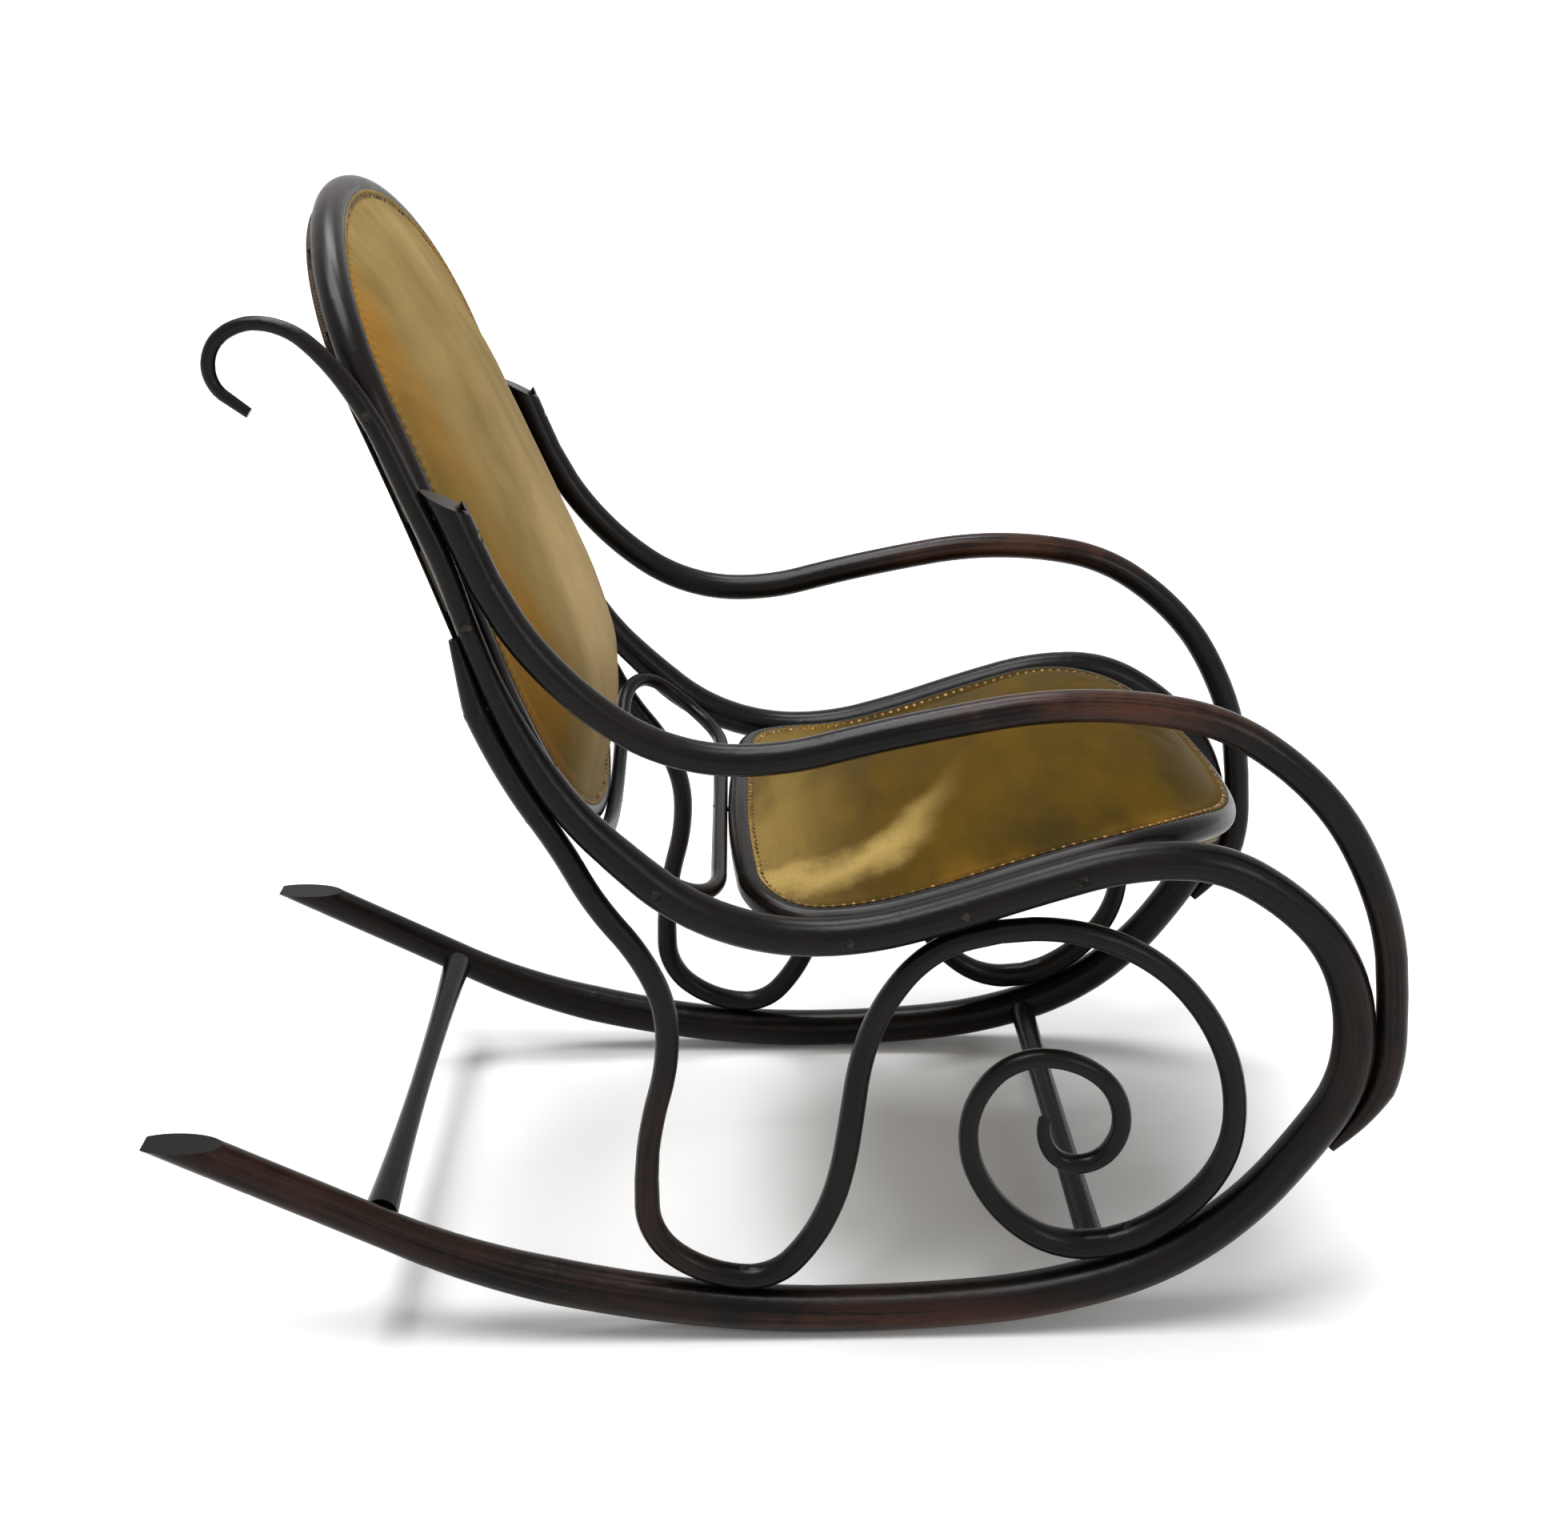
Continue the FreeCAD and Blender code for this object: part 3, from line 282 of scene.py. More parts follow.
# The pale tone is a painted highlight in the seat's streak and painted light on the back, and also paler
# patches at the seat's rear
SEAT_GOLD = (color(0.028, 0.016, 0.001), color(0.064, 0.036, 0.002), color(0.290, 0.200, 0.065))
BACK_GOLD = (color(0.110, 0.072, 0.016), color(0.165, 0.110, 0.034), color(0.370, 0.265, 0.125))
GOLD_EDGE = color(0.200, 0.092, 0.010)
SEAT_NAP = (14.0, 5.0, 14.0)
BACK_NAP = (9.0, 16.0, 4.0)
SEAT_EDGE = {"reach": (0.170, 0.215), "most": 0.7, "patches": (0.45, 0.6), "least": 0.0}
BACK_EDGE = {"reach": (0.130, 0.185), "most": 0.8, "patches": (0.35, 0.6), "least": 0.3}
PILE_LENGTH = 0.0008
PILE_RELIEF = 0.5
CRUSHED_RELIEF = 1.2
CRUSHED_SHARE = 0.6
SHADE_SPAN = (0.36, 0.64)
FLECK_SPAN = (0.35, 0.75)
FLECKS = (0.0, 0.18)
CRUSHED_SPAN = (0.3, 0.7)
PILE_ROUGHNESS = (0.7, 0.85)
SHEEN_TINT = color(0.85, 0.70, 0.42)


def pile_cloth(name, nap_way, tones, pale_share_at, edge):
    """Short gold pile in crushed patches, with its pale tone mixed in where the given function says, for
    painted highlight, painted light and paler patches; edge gives the rusty sides.
    """
    deep, middle, pale = tones
    cloth = Material(name)
    crushed = cloth.noise(cloth.scaled(cloth.place, nap_way), scale=1.0, detail=4.0, rough=0.55)
    broad = cloth.noise(cloth.place, scale=6.5)
    fleck = cloth.noise(cloth.place, scale=420.0, detail=2.0, rough=0.6)
    pile = cloth.noise(cloth.place, scale=1500.0, detail=2.0, rough=0.7)
    tone = cloth.plus(cloth.times(crushed, CRUSHED_SHARE), cloth.times(broad, 1 - CRUSHED_SHARE))
    shaded = cloth.mix(cloth.between(tone, SHADE_SPAN), deep, middle)
    # Pale tone mixed in: painted highlight and painted light, and the seat rear's paler patches
    paled = cloth.mix(pale_share_at(cloth, crushed), shaded, pale)
    worn = cloth.mix(side_wear(cloth, broad, **edge), paled, GOLD_EDGE)
    cloth.set(
        color=cloth.mix(cloth.between(fleck, FLECK_SPAN, FLECKS), worn, deep),
        rough=cloth.between(crushed, CRUSHED_SPAN, PILE_ROUGHNESS),
        sheen=0.04,
        sheen_rough=0.45,
        sheen_tint=SHEEN_TINT,
        specular=0.05,
    )
    relief = cloth.plus(cloth.times(pile, PILE_RELIEF), cloth.times(crushed, CRUSHED_RELIEF))
    cloth.bump(relief, strength=0.35, distance=PILE_LENGTH)
    return cloth.material


def side_wear(cloth, broad, reach, most, patches, least):
    """Rusty wear in patches along a cushion's two sides."""
    across = cloth.math("ABSOLUTE", cloth.coordinate("Y"))
    along_side = cloth.between(across, reach, (0.0, most))
    return cloth.times(along_side, cloth.between(broad, patches, (least, 1.0)))


# Pale tone mixed into the pile: a painted highlight in a streak on the seat's near side, paler patches at
# the seat's rear, and painted light down the middle of the back

# The seat's pale streak is a painted highlight
STREAK_ACROSS = -0.172
STREAK_BENDS_AT = -0.02
STREAK_BEND = 6.0
STREAK_WOBBLE = 0.06
STREAK_WIDTH = (0.040, 0.0)
STREAK_PALE = (0.0, 0.85)
STREAK_END = (0.125, 0.04)
REAR_SPAN = (0.06, -0.10)
REAR_PALE = (0.0, 0.5)
REAR_CRUSHED = (0.35, 0.65)
PATCH_PALE = (0.4, 1.0)
# Painted light on the back: paler down its middle and towards its foot
BACK_LINE = -0.02
BACK_WIDTH = (0.18, 0.04)
BACK_HEIGHTS = (0.86, 0.56)
BACK_PALE = (0.25, 1.0)


def seat_highlight_and_paler_rear(cloth, crushed):
    """Painted highlight in a pale streak that bends inwards, and paler patches along the seat's rear."""
    forward = cloth.coordinate("X")
    past = cloth.larger(cloth.plus(forward, -STREAK_BENDS_AT), 0.0)
    bend = cloth.times(cloth.times(past, past), STREAK_BEND)
    noise = cloth.noise(cloth.place, scale=22.0, detail=4.0)
    wobble = cloth.times(cloth.math("SUBTRACT", noise, 0.5), STREAK_WOBBLE)
    from_line = cloth.plus(cloth.math("SUBTRACT", cloth.coordinate("Y"), bend), -STREAK_ACROSS)
    aside = cloth.math("ABSOLUTE", cloth.plus(from_line, wobble))
    streak = cloth.between(aside, STREAK_WIDTH, STREAK_PALE)
    rear = cloth.between(forward, REAR_SPAN, REAR_PALE)
    patches = cloth.between(crushed, REAR_CRUSHED, PATCH_PALE)
    return cloth.larger(cloth.times(streak, cloth.between(forward, STREAK_END)), cloth.times(rear, patches))


def back_painted_light(cloth, crushed):
    """Painted light: the back painted paler down its middle, most at its foot."""
    across = cloth.math("ABSOLUTE", cloth.plus(cloth.coordinate("Y"), -BACK_LINE))
    low = cloth.between(cloth.coordinate("Z"), BACK_HEIGHTS, BACK_PALE)
    paled = cloth.times(cloth.between(across, BACK_WIDTH), low)
    return cloth.times(paled, cloth.between(crushed, CRUSHED_SPAN, PATCH_PALE))


# Woven cloths: dark and light threads

JUTE = (color(0.16, 0.11, 0.06), color(0.42, 0.32, 0.19))
OLD_JUTE = (color(0.020, 0.015, 0.010), color(0.060, 0.044, 0.028))
HESSIAN = (color(0.10, 0.075, 0.045), color(0.30, 0.23, 0.14))
BROWN_COTTON = (color(0.014, 0.009, 0.006), color(0.052, 0.034, 0.021))
WEBBING_PITCH = 0.0022
CLOTH_PITCH = 0.0016
WAVE_RADIANS = 20
SLUB_SPAN = (0.2, 0.8)
SLUB_SHARE = (0.55, 1.0)


def woven(name, threads, pitch, across, along):
    """Plain weave: warp and weft threads as two crossed sets of ribs, pitch apart."""
    cloth = Material(name)
    ribs = math.tau / WAVE_RADIANS / pitch
    warp = cloth.wave(cloth.place, ribs, across, distortion=0.6)
    weft = cloth.wave(cloth.place, ribs, along, distortion=0.6)
    thread = cloth.larger(warp, weft)
    slub = cloth.noise(cloth.place, scale=130.0)
    cloth.set(
        color=cloth.mix(cloth.times(thread, cloth.between(slub, SLUB_SPAN, SLUB_SHARE)), *threads),
        rough=0.85,
        sheen=0.05,
        specular=0.1,
    )
    cloth.bump(cloth.plus(thread, slub), strength=0.8, distance=pitch / 4)
    return cloth.material


# Nails and screws: dark and bright metal

OLD_BRASS = (color(0.040, 0.024, 0.011), color(0.270, 0.160, 0.060))
DARK_STEEL = (color(0.010, 0.009, 0.008), color(0.035, 0.030, 0.026))
BRASS_ROUGHNESS = 0.36
STEEL_ROUGHNESS = 0.4
TARNISH_ROUGHNESS = 0.15
TARNISH_SPAN = (0.35, 0.7)
DULL_SPAN = (0.3, 0.7)
METAL_RELIEF = 0.0003


def old_metal(name, tones, rough):
    """Metal with darker, duller spots."""
    metal = Material(name)
    spots = metal.noise(metal.place, scale=160.0, detail=4.0)
    metal.set(
        color=metal.mix(metal.between(spots, TARNISH_SPAN), *tones),
        metal=1.0,
        rough=metal.between(spots, DULL_SPAN, (rough + TARNISH_ROUGHNESS, rough)),
    )
    pits = metal.noise(metal.place, scale=420.0, detail=2.0)
    metal.bump(pits, strength=0.25, distance=METAL_RELIEF)
    return metal.material


# Stage and light

FLOOR_HALF = 12
FLOOR_TONES = (color(0.90, 0.90, 0.895), color(0.885, 0.885, 0.88))
FADE_BAND = (1.1, 2.6)
WORLD_ON_SURFACES = 0.40
WORLD_SEEN = 1.0


def add_floor():
    """Pale floor that keeps the shadow and fades to plain white away from the chair."""
    mesh = bpy.data.meshes.new("floor")
    corners = [(-FLOOR_HALF, -FLOOR_HALF, 0), (FLOOR_HALF, -FLOOR_HALF, 0)]
    corners += [(FLOOR_HALF, FLOOR_HALF, 0), (-FLOOR_HALF, FLOOR_HALF, 0)]
    mesh.from_pydata(corners, [], [(0, 1, 2, 3)])
    floor = bpy.data.objects.new("floor", mesh)
    scene.collection.objects.link(floor)
    paint = Material("floor_paint")
    paint.set(
        color=paint.mix(paint.noise(paint.place, scale=3.0, detail=2.0), *FLOOR_TONES),
        rough=0.9,
        specular=0.1,
        glow=WHITE,
        glow_strength=paint.between(paint.length(paint.place), FADE_BAND),
    )
    mesh.materials.append(paint.material)


def add_lamp(name, place, target, size, power):
    data = bpy.data.lights.new(name, "AREA")
    data.shape = "RECTANGLE"
    data.size, data.size_y = size
    data.energy = power
    lamp = bpy.data.objects.new(name, data)
    lamp.location = place
    lamp.rotation_euler = (Vector(target) - Vector(place)).to_track_quat("-Z", "Y").to_euler()
    scene.collection.objects.link(lamp)


def add_world():
    """Even grey-white light; the camera, reflections and light through glass see it as white."""
    world = bpy.data.worlds.new("studio")
    world.use_nodes = True
    nodes = world.node_tree.nodes
    links = world.node_tree.links
    background = nodes["Background"]
    seen = nodes.new("ShaderNodeLightPath")
    white = seen.outputs["Is Camera Ray"]
    for kind in ("Is Glossy Ray", "Is Transmission Ray"):
        either = nodes.new("ShaderNodeMath")
        either.operation = "MAXIMUM"
        links.new(white, either.inputs[0])
        links.new(seen.outputs[kind], either.inputs[1])
        white = either.outputs[0]
    level = nodes.new("ShaderNodeMapRange")
    level.inputs["To Min"].default_value = WORLD_ON_SURFACES
    level.inputs["To Max"].default_value = WORLD_SEEN
    links.new(white, level.inputs["Value"])
    links.new(level.outputs[0], background.inputs["Strength"])
    background.inputs["Color"].default_value = WHITE
    scene.world = world


def light_stage():
    add_floor()
    add_world()
    add_lamp("key", place=(-0.6, -0.5, 3.1), target=(0, 0, 0.3), size=(1.8, 1.5), power=108)
    add_lamp("top", place=(-0.2, 1.0, 3.1), target=(0, 0, 0.4), size=(1.3, 0.9), power=50)
    add_lamp("side", place=(1.9, -2.1, 1.5), target=(0, 0, 0.4), size=(0.9, 0.9), power=14)


# Mesh helpers

SAME_PLACE_DIGITS = 6
TIP_DEPTH = 0.0005


def coordinates(mesh):
    values = np.empty(len(mesh.vertices) * 3)
    mesh.vertices.foreach_get("co", values)
    return values.reshape(-1, 3)


def set_coordinates(mesh, values):
    mesh.vertices.foreach_set("co", values.reshape(-1))
    mesh.update()


def vertex_normals(mesh):
    return np.array([vertex.normal[:] for vertex in mesh.vertices])


def unit(rows):
    return rows / np.linalg.norm(rows, axis=1, keepdims=True)


def surface_of(mesh):
    corners = [tuple(vertex.co) for vertex in mesh.vertices]
    return BVHTree.FromPolygons(corners, [tuple(polygon.vertices) for polygon in mesh.polygons])


def apply_modifiers(piece):
    graph = bpy.context.evaluated_depsgraph_get()
    graph.update()
    mesh = bpy.data.meshes.new_from_object(piece.evaluated_get(graph))
    old = piece.data
    piece.modifiers.clear()
    piece.data = mesh
    bpy.data.meshes.remove(old)


def islands(mesh):
    """Vertex numbers of each loose part of a mesh."""
    parent = list(range(len(mesh.vertices)))

    def root(number):
        while parent[number] != number:
            parent[number] = parent[parent[number]]
            number = parent[number]
        return number

    place = {}
    for number, vertex in enumerate(mesh.vertices):
        key = tuple(round(value, SAME_PLACE_DIGITS) for value in vertex.co)
        parent[root(number)] = root(place.setdefault(key, number))
    for edge in mesh.edges:
        first, second = edge.vertices
        parent[root(first)] = root(second)
    groups = {}
    for number in range(len(parent)):
        groups.setdefault(root(number), []).append(number)
    return list(groups.values())


def nail_lines(mesh):
    """Tip and top of each nail."""
    points = coordinates(mesh)
    tips = []
    tops = []
    for group in islands(mesh):
        nail = points[group]
        reach = np.linalg.norm(nail - nail.mean(axis=0), axis=1)
        tip = nail[reach > reach.max() - TIP_DEPTH].mean(axis=0)
        tips.append(tip)
        tops.append(nail[np.argmax(np.linalg.norm(nail - tip, axis=1))])
    return np.array(tips), np.array(tops)


def densified(rows, steps):
    """Points on a closed Catmull-Rom curve through the rows, with steps points for each row."""
    before, after, later = (np.roll(rows, shift, 0) for shift in (1, -1, -2))
    bend = 2 * before - 5 * rows + 4 * after - later
    twist = 3 * rows - before - 3 * after + later
    parts = []
    for step in range(steps):
        share = step / steps
        parts.append(rows + (after - before) * share / 2 + bend * share ** 2 / 2 + twist * share ** 3 / 2)
    return np.stack(parts, axis=1).reshape(-1, 3)


def bezier(start, first, second, end, share):
    """Point of a cubic curve at a share of its way, from its ends and their two handles."""
    rest = 1 - share
    curve = start * rest ** 3 + first * (3 * share * rest ** 2)
    return curve + second * (3 * share ** 2 * rest) + end * share ** 3


def closed_form(name, contours):
    """Mesh object through closed contours of equal length, ended by a point at each end."""
    count = len(contours[0])
    points = [contours[0].mean(axis=0)]
    for contour in contours:
        points.extend(contour)
    points.append(contours[-1].mean(axis=0))
    faces = []
    for place in range(count):
        follow = (place + 1) % count
        faces.append((0, 1 + follow, 1 + place))
        for row in range(len(contours) - 1):
            base = 1 + row * count
            faces.append((base + place, base + follow, base + count + follow, base + count + place))
        base = 1 + (len(contours) - 1) * count
        faces.append((base + place, base + follow, len(points) - 1))
    mesh = bpy.data.meshes.new(name)
    mesh.from_pydata([tuple(point) for point in points], [], faces)
    work = bmesh.new()
    work.from_mesh(mesh)
    bmesh.ops.recalc_face_normals(work, faces=work.faces)
    work.to_mesh(mesh)
    work.free()
    piece = bpy.data.objects.new(name, mesh)
    scene.collection.objects.link(piece)
    return piece


# Cushions: cloth over a pad and the inner shoulder of its ring, held down by nails

# A nail's tip lies NAIL_DEPTH below its head's seat, and the nail leans towards the pad
NAIL_DEPTH = 0.007
NAIL_LIFT = 0.0001
NAIL_LEAN = math.radians(38)
STEPS_PER_NAIL = 4

# The pad's top starts PAD_START inside the ring's middle line
PAD_START = 0.022
PAD_STEPS = 26
PAD_CLEAR = 0.0006
SMOOTH_REACH = 5
FULL_STEPS = 9

# Shallow uneven places of the top
DENT_DEPTH = 0.0016
DENT_STEPS = 5
DENT_SCALE = 14
DENT_ROUGHNESS = 1.0
DENT_SPREAD = 2.6
DENT_OCTAVES = 2

# Cloth between pad and nails: a curve whose two handles are inward and upright lengths, and gathers
HEM_SHARES = (0.8, 0.6, 0.42, 0.27, 0.13)
NAIL_HANDLE = (0.0035, 0.0030)
PAD_HANDLE = (0.0050, 0.0014)
GATHER = 0.0004

# The hem beyond the nails, its scallops, and the skin that closes the cushion against the ring
HEM_BEYOND_NAILS = math.radians(25)
HEM_SCALLOP = math.radians(1.5)
HEM_LEAST = 0.0004
HEM_RISE = 0.0008
HEM_EDGE_SHARE = 0.75
SKIN = 0.00012
SKIN_ANGLES = [math.radians(degrees) for degrees in (38, 62, 84)]

# The wall beside the ring, from WALL_TOP radii below its middle line to just above its foot
WALL_GAP = 0.0007
WALL_TOP = 0.3
WALL_FOOT = 0.0006

# The underside, at a level over the bottom cloth or the lining
UNDER_STEPS = 7
UNDER_LEVEL = 0.0044

# Height from which a surface is looked for
LOOK_FROM = 0.2

# The pad's slight swelling, of its upper side only
FORM_WALL_LEVELS = (0.8, 0, -0.9)
VOXEL = 0.005
SWELL_FRAMES = 20
PRESSURE = 4.0
SWELL_LIMIT = 0.005
HELD_FACING = 0.35
TINY = 1e-9

# Rises at two places, which are measured from a cushion's middle to the seat's rear or the back's top
Fullness = namedtuple("Fullness", "first_rise last_rise first_place last_place")
SEAT_FULLNESS = Fullness(first_rise=0.012, last_rise=-0.002, first_place=-0.16, last_place=0.05)
BACK_FULLNESS = Fullness(first_rise=0.010, last_rise=-0.014, first_place=-0.16, last_place=0.16)


class PaddedRing:
    """A ring's stations at its nails and between them, and the pad inside it."""

    def __init__(self, nail_node, ring_radius, pad_node, under_node, upward, fullness):
        self.radius = ring_radius
        self.fullness = fullness
        self.pad = surface_of(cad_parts[pad_node].data)
        self.under = surface_of(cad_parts[under_node].data)
        self.upward = np.array(upward) / np.linalg.norm(upward)
        across = np.array((0, 1, 0))
        self.along = np.cross(self.upward, across)
        tips, tops = nail_lines(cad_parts[nail_node].data)
        axes = unit(tops - tips)
        middles = tips + axes * (NAIL_DEPTH - NAIL_LIFT - ring_radius)
        self.heart = middles.mean(axis=0)
        spokes = middles - self.heart
        order = np.argsort(np.arctan2(spokes @ self.along, spokes @ across))
        middles, axes, spokes = middles[order], axes[order], spokes[order]
        way = unit(np.roll(middles, -1, 0) - np.roll(middles, 1, 0))
        lower = np.cross(way, axes)
        lower *= -np.sign((spokes * lower).sum(axis=1))[:, None]
        upright = axes * math.cos(NAIL_LEAN) - lower * math.sin(NAIL_LEAN)
        inward = axes * math.sin(NAIL_LEAN) + lower * math.cos(NAIL_LEAN)
        self.upright = unit(densified(upright, STEPS_PER_NAIL))
        self.inward = unit(densified(inward, STEPS_PER_NAIL))
        self.middle = densified(middles, STEPS_PER_NAIL)
        phase = np.arange(len(self.middle)) * math.tau / STEPS_PER_NAIL
        self.from_nail = ((1 - np.cos(phase)) / 2)[:, None]
        self.nail_wave = 2 * self.from_nail - 1

    def on_ring(self, angle, lift):
        """Contour on the ring at an angle from its upright towards the pad."""
        out = self.upright * np.cos(angle) + self.inward * np.sin(angle)
        return self.middle + out * (self.radius + lift)

    def beside(self, inward, upright):
        """Contour at lengths inward and upright from the ring's middle line."""
        return self.middle + self.inward * inward + self.upright * upright

    def on_surface(self, surface, contour, clear):
        """Contour moved along the upward direction onto a surface seen from above."""
        rows = []
        for point in contour:
            start = Vector(point + self.upward * LOOK_FROM)
            hit = surface.ray_cast(start, Vector(-self.upward))[0] or surface.find_nearest(Vector(point))[0]
            level = np.dot(np.array(hit) - point, self.upward) + clear
            rows.append(point + self.upward * level)
        return np.array(rows)

    def towards_heart(self, contour, share):
        return self.heart + (contour - self.heart) * (1 - share)

    def top_contours(self, pad, clear):
        """Contours of the pad's top from near its middle out to where it starts."""
        start = self.beside(PAD_START, self.radius)
        rows = []
        for step in range(PAD_STEPS - 1, -1, -1):
            share = step / PAD_STEPS
            rows.append(self.smoothed(self.on_surface(pad, self.towards_heart(start, share), clear)))
        return rows

    def smoothed(self, contour):
        """Contour with its heights evened out over its near neighbours."""
        heights = contour @ self.upward
        shifts = range(-SMOOTH_REACH, SMOOTH_REACH + 1)
        even = sum(np.roll(heights, shift) for shift in shifts) / len(shifts)
        return contour + np.outer(even - heights, self.upward)

    def fuller(self, contours):
        """Contours raised where years of use have pushed the stuffing, and lowered where it left."""
        full = self.fullness
        rows = []
        for number, contour in enumerate(contours):
            edge = min(1, (len(contours) - 1 - number) / FULL_STEPS)
            way = (contour - self.heart) @ self.along - full.first_place
            share = np.clip(way / (full.last_place - full.first_place), 0, 1)
            rise = full.first_rise + (full.last_rise - full.first_rise) * share
            rows.append(contour + np.outer(rise * math.sin(edge * math.pi / 2), self.upward))
        return rows

    def dented(self, contours):
        """Contours with shallow uneven places, none at the outermost."""
        rows = []
        for number, contour in enumerate(contours):
            depth = DENT_DEPTH * min(1, (len(contours) - 1 - number) / DENT_STEPS)
            level = [self.dent(point) for point in contour]
            rows.append(contour + np.outer(level, self.upward) * depth)
        return rows

    def dent(self, point):
        place = Vector(point * DENT_SCALE)
        return smooth_noise.fractal(place, DENT_ROUGHNESS, DENT_SPREAD, DENT_OCTAVES)

    def under_contours(self):
        """Contours of the cushion's underside, from the ring in to near its middle."""
        start = self.beside(self.radius + WALL_GAP, -self.radius)
        rows = []
        for step in range(1, UNDER_STEPS):
            inner = self.towards_heart(start, step / UNDER_STEPS)
            rows.append(self.on_surface(self.under, inner, UNDER_LEVEL))
        return rows

    def shoulder_contours(self, pad_start, nail_line):
        """Contours of the cloth from the pad out to the nails, gathered between them."""
        first = nail_line + self.inward * NAIL_HANDLE[0] + self.upright * NAIL_HANDLE[1]
        second = pad_start - self.inward * PAD_HANDLE[0] - self.upright * PAD_HANDLE[1]
        rows = []
        for share in HEM_SHARES:
            curve = bezier(nail_line, first, second, pad_start, share)
            rows.append(curve + self.upright * (GATHER * (1 - share) ** 2 * self.nail_wave))
        return rows

    def hem_contours(self, pad_start):
        """Contours from the pad out to the nails, round the hem and back along the ring."""
        hem = HEM_LEAST + HEM_RISE * self.from_nail
        nail_line = self.on_ring(NAIL_LEAN, hem)
        edge = NAIL_LEAN - HEM_BEYOND_NAILS - HEM_SCALLOP * self.nail_wave
        rows = self.shoulder_contours(pad_start, nail_line)
        rows.append(nail_line)
        rows.append(self.on_ring((NAIL_LEAN + edge) / 2, hem))
        rows.append(self.on_ring(edge, hem * HEM_EDGE_SHARE))
        rows.append(self.on_ring(edge, SKIN))
        for angle in SKIN_ANGLES:
            rows.append(self.on_ring(angle, SKIN))
        rows.append(self.beside(self.radius + WALL_GAP, -WALL_TOP * self.radius))
        rows.append(self.beside(self.radius + WALL_GAP, WALL_FOOT - self.radius))
        return rows


def swell(form, ring):
    """Lets a closed form's cloth swell under pressure, with its sides and underside held."""
    held = form.vertex_groups.new(name="held")
    facing = vertex_normals(form.data) @ ring.upward
    held.add([int(number) for number in np.flatnonzero(facing < HELD_FACING)], 1.0, "REPLACE")
    cloth = form.modifiers.new("cloth", "CLOTH")
    settings = cloth.settings
    settings.use_pressure = True
    settings.uniform_pressure_force = PRESSURE
    settings.effector_weights.gravity = 0
    settings.vertex_group_mass = "held"
    cloth.point_cache.frame_end = SWELL_FRAMES
    for number in range(1, SWELL_FRAMES + 1):
        scene.frame_set(number)
    apply_modifiers(form)
    scene.frame_set(1)


def swollen_pad(ring):
    """The pad's form after its cloth has swollen a little, as a surface."""
    walls = [ring.beside(ring.radius + 2 * WALL_GAP, level * ring.radius) for level in FORM_WALL_LEVELS]
    form = closed_form("pad_form", ring.top_contours(ring.pad, 0.0) + walls + ring.under_contours())
    remesh = form.modifiers.new("remesh", "REMESH")
    remesh.mode = "VOXEL"
    remesh.voxel_size = VOXEL
    apply_modifiers(form)
    start = coordinates(form.data)
    swell(form, ring)
    move = coordinates(form.data) - start
    length = np.linalg.norm(move, axis=1, keepdims=True)
    capped = move * np.minimum(1, SWELL_LIMIT / np.maximum(length, TINY))
    set_coordinates(form.data, start + capped)
    surface = surface_of(form.data)
    bpy.data.objects.remove(form)
    return surface


def cushion(name, ring, replaced, material):
    """One closed piece that stands for the cover and the stuffing of a ring."""
    pad = swollen_pad(ring)
    top = ring.dented(ring.fuller(ring.top_contours(pad, PAD_CLEAR)))
    piece = closed_form(name, top + ring.hem_contours(top[-1]) + ring.under_contours())
    piece.data.materials.append(material)
    piece.data.shade_smooth()
    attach(piece, "root")
    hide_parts(*replaced)


# The chair: the normal of each bent rod's plane, and the radius of each ring's rod

SIDE_PLANE = (0.0, 1.0, 0.0)
SEAT_PLANE = (0.0, 0.0, 1.0)
BACK_FRONT = (0.945, 0.0, 0.327)
SEAT_RING_RADIUS = 0.012
BACK_RING_RADIUS = 0.013


def give(material, *node_names):
    """The material put into the slots of CAD nodes."""
    for node_name in node_names:
        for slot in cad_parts[node_name].material_slots:
            slot.material = material


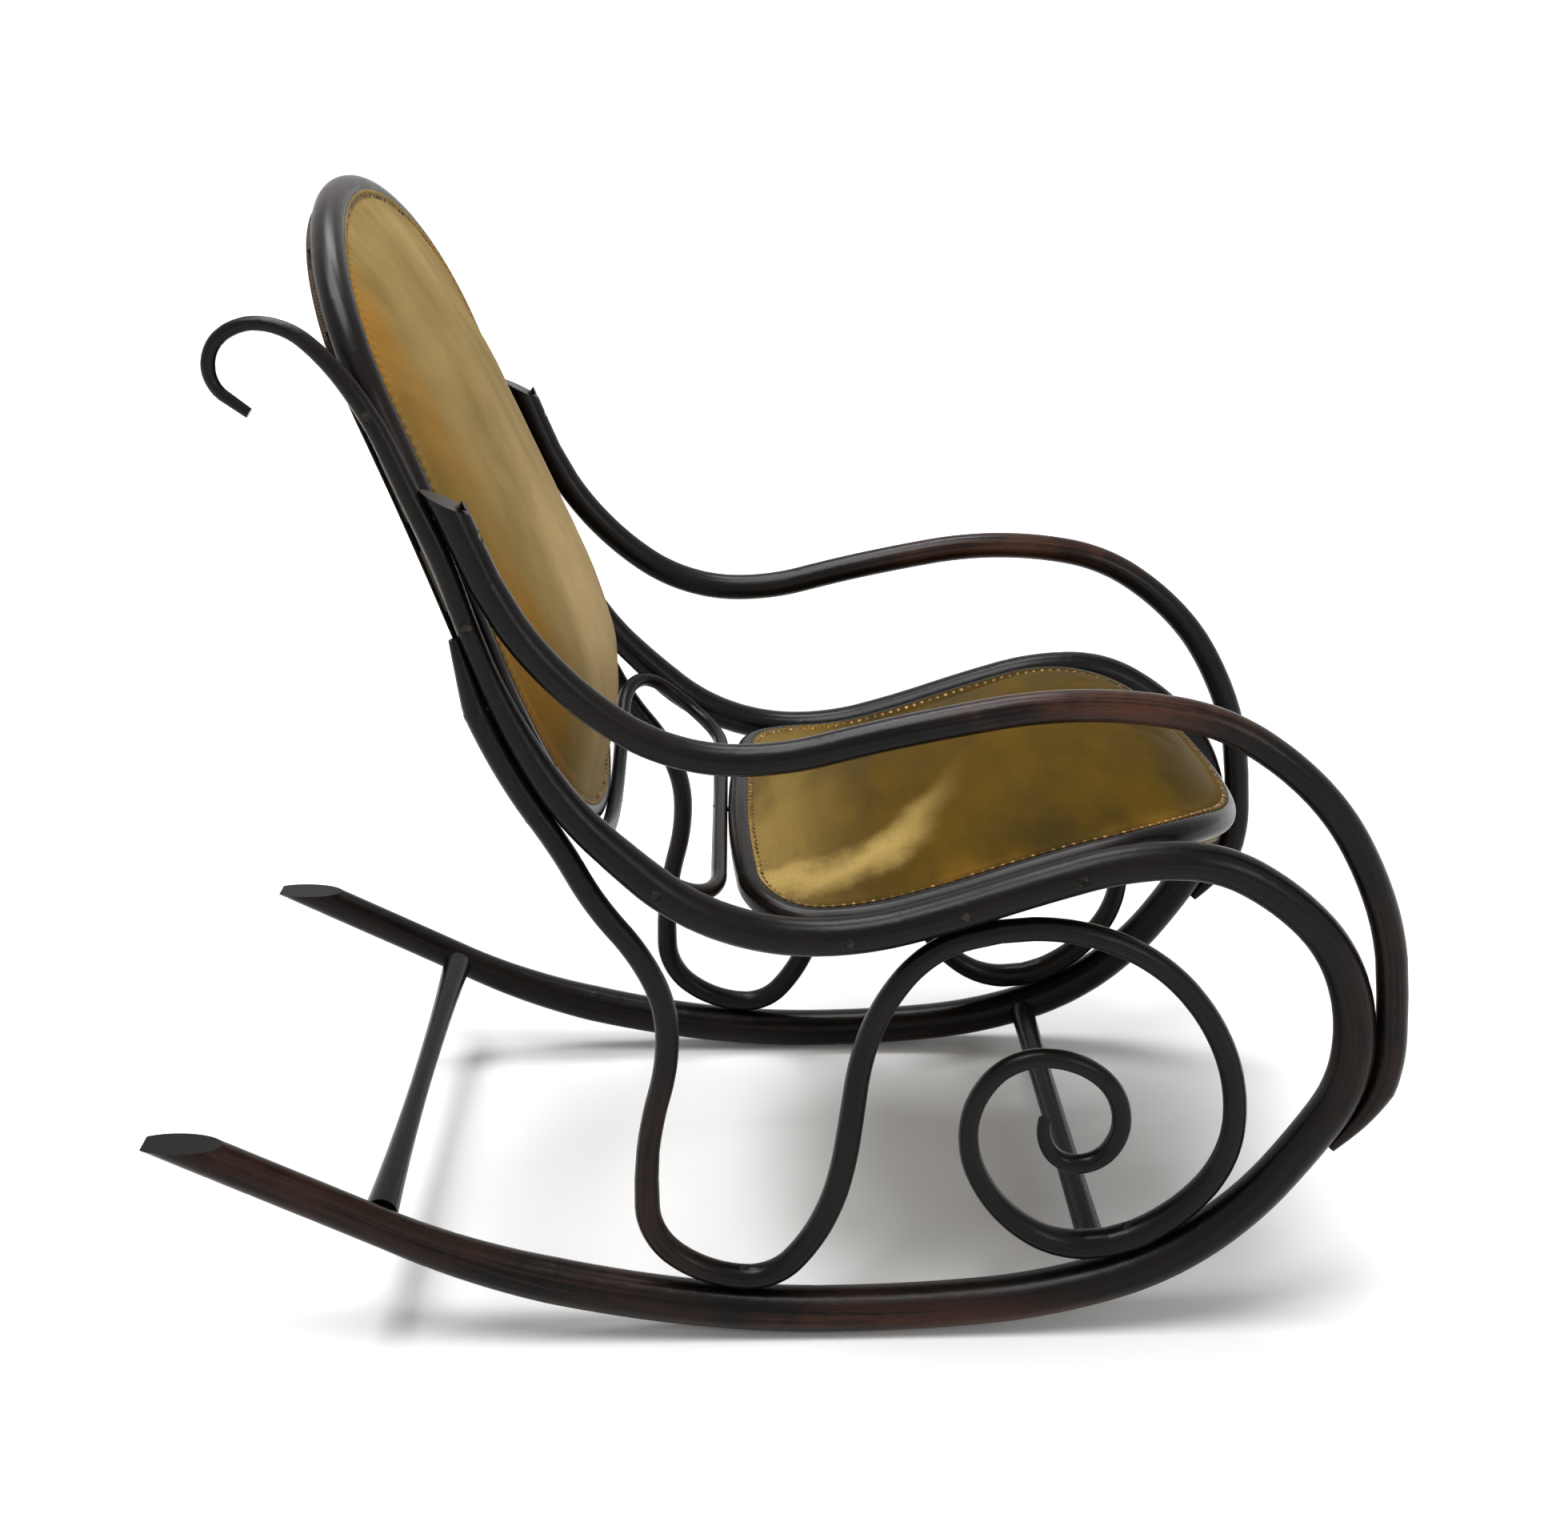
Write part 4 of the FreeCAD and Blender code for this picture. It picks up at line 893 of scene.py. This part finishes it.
def dress_wood():
    frame_wood = bentwood("frame_wood", SIDE_PLANE, frame_wear)
    for side in ("right", "left"):
        give(frame_wood, side + "_side_rail", side + "_scroll_leg", side + "_arm")
    give(bentwood("ring_wood", SEAT_PLANE, light_wear), "seat_ring", "connecting_hoop")
    give(bentwood("back_ring_wood", BACK_FRONT, light_wear), "back_ring")
    for rod in ("rear_stretcher", "front_stretcher"):
        give(bentwood(rod + "_wood", SEAT_PLANE, light_wear), rod)


def dress_metal():
    give(old_metal("nail_metal", OLD_BRASS, BRASS_ROUGHNESS), "seat_nails", "back_nails")
    screw_metal = old_metal("screw_metal", DARK_STEEL, STEEL_ROUGHNESS)
    for held in ("arm", "leg", "seat_ring", "back_ring", "hoop"):
        give(screw_metal, held + "_screws")


def dress_hidden_cloths():
    give(woven("jute", JUTE, WEBBING_PITCH, "X", "Y"), "seat_webbing")
    give(woven("old_jute", OLD_JUTE, WEBBING_PITCH, "Y", "Z"), "back_webbing")
    give(woven("hessian", HESSIAN, CLOTH_PITCH, "X", "Y"), "seat_bottom_cloth")
    give(woven("back_cotton", BROWN_COTTON, CLOTH_PITCH, "Y", "Z"), "back_lining")


def add_cushions():
    # The seat's pile carries a painted highlight, the back's pile painted light
    seat_pile = pile_cloth("seat_pile", SEAT_NAP, SEAT_GOLD, seat_highlight_and_paler_rear, SEAT_EDGE)
    back_pile = pile_cloth("back_pile", BACK_NAP, BACK_GOLD, back_painted_light, BACK_EDGE)
    seat = PaddedRing(
        "seat_nails", SEAT_RING_RADIUS, "seat_cover", "seat_bottom_cloth", SEAT_PLANE, SEAT_FULLNESS,
    )
    back = PaddedRing(
        "back_nails", BACK_RING_RADIUS, "back_cover", "back_lining", BACK_FRONT, BACK_FULLNESS,
    )
    cushion("seat_cushion", seat, ("seat_stuffing", "seat_cover"), seat_pile)
    cushion("back_cushion", back, ("back_stuffing", "back_cover"), back_pile)


add_camera()
light_stage()
dress_wood()
dress_metal()
dress_hidden_cloths()
add_cushions()

scene.view_settings.view_transform = "Standard"
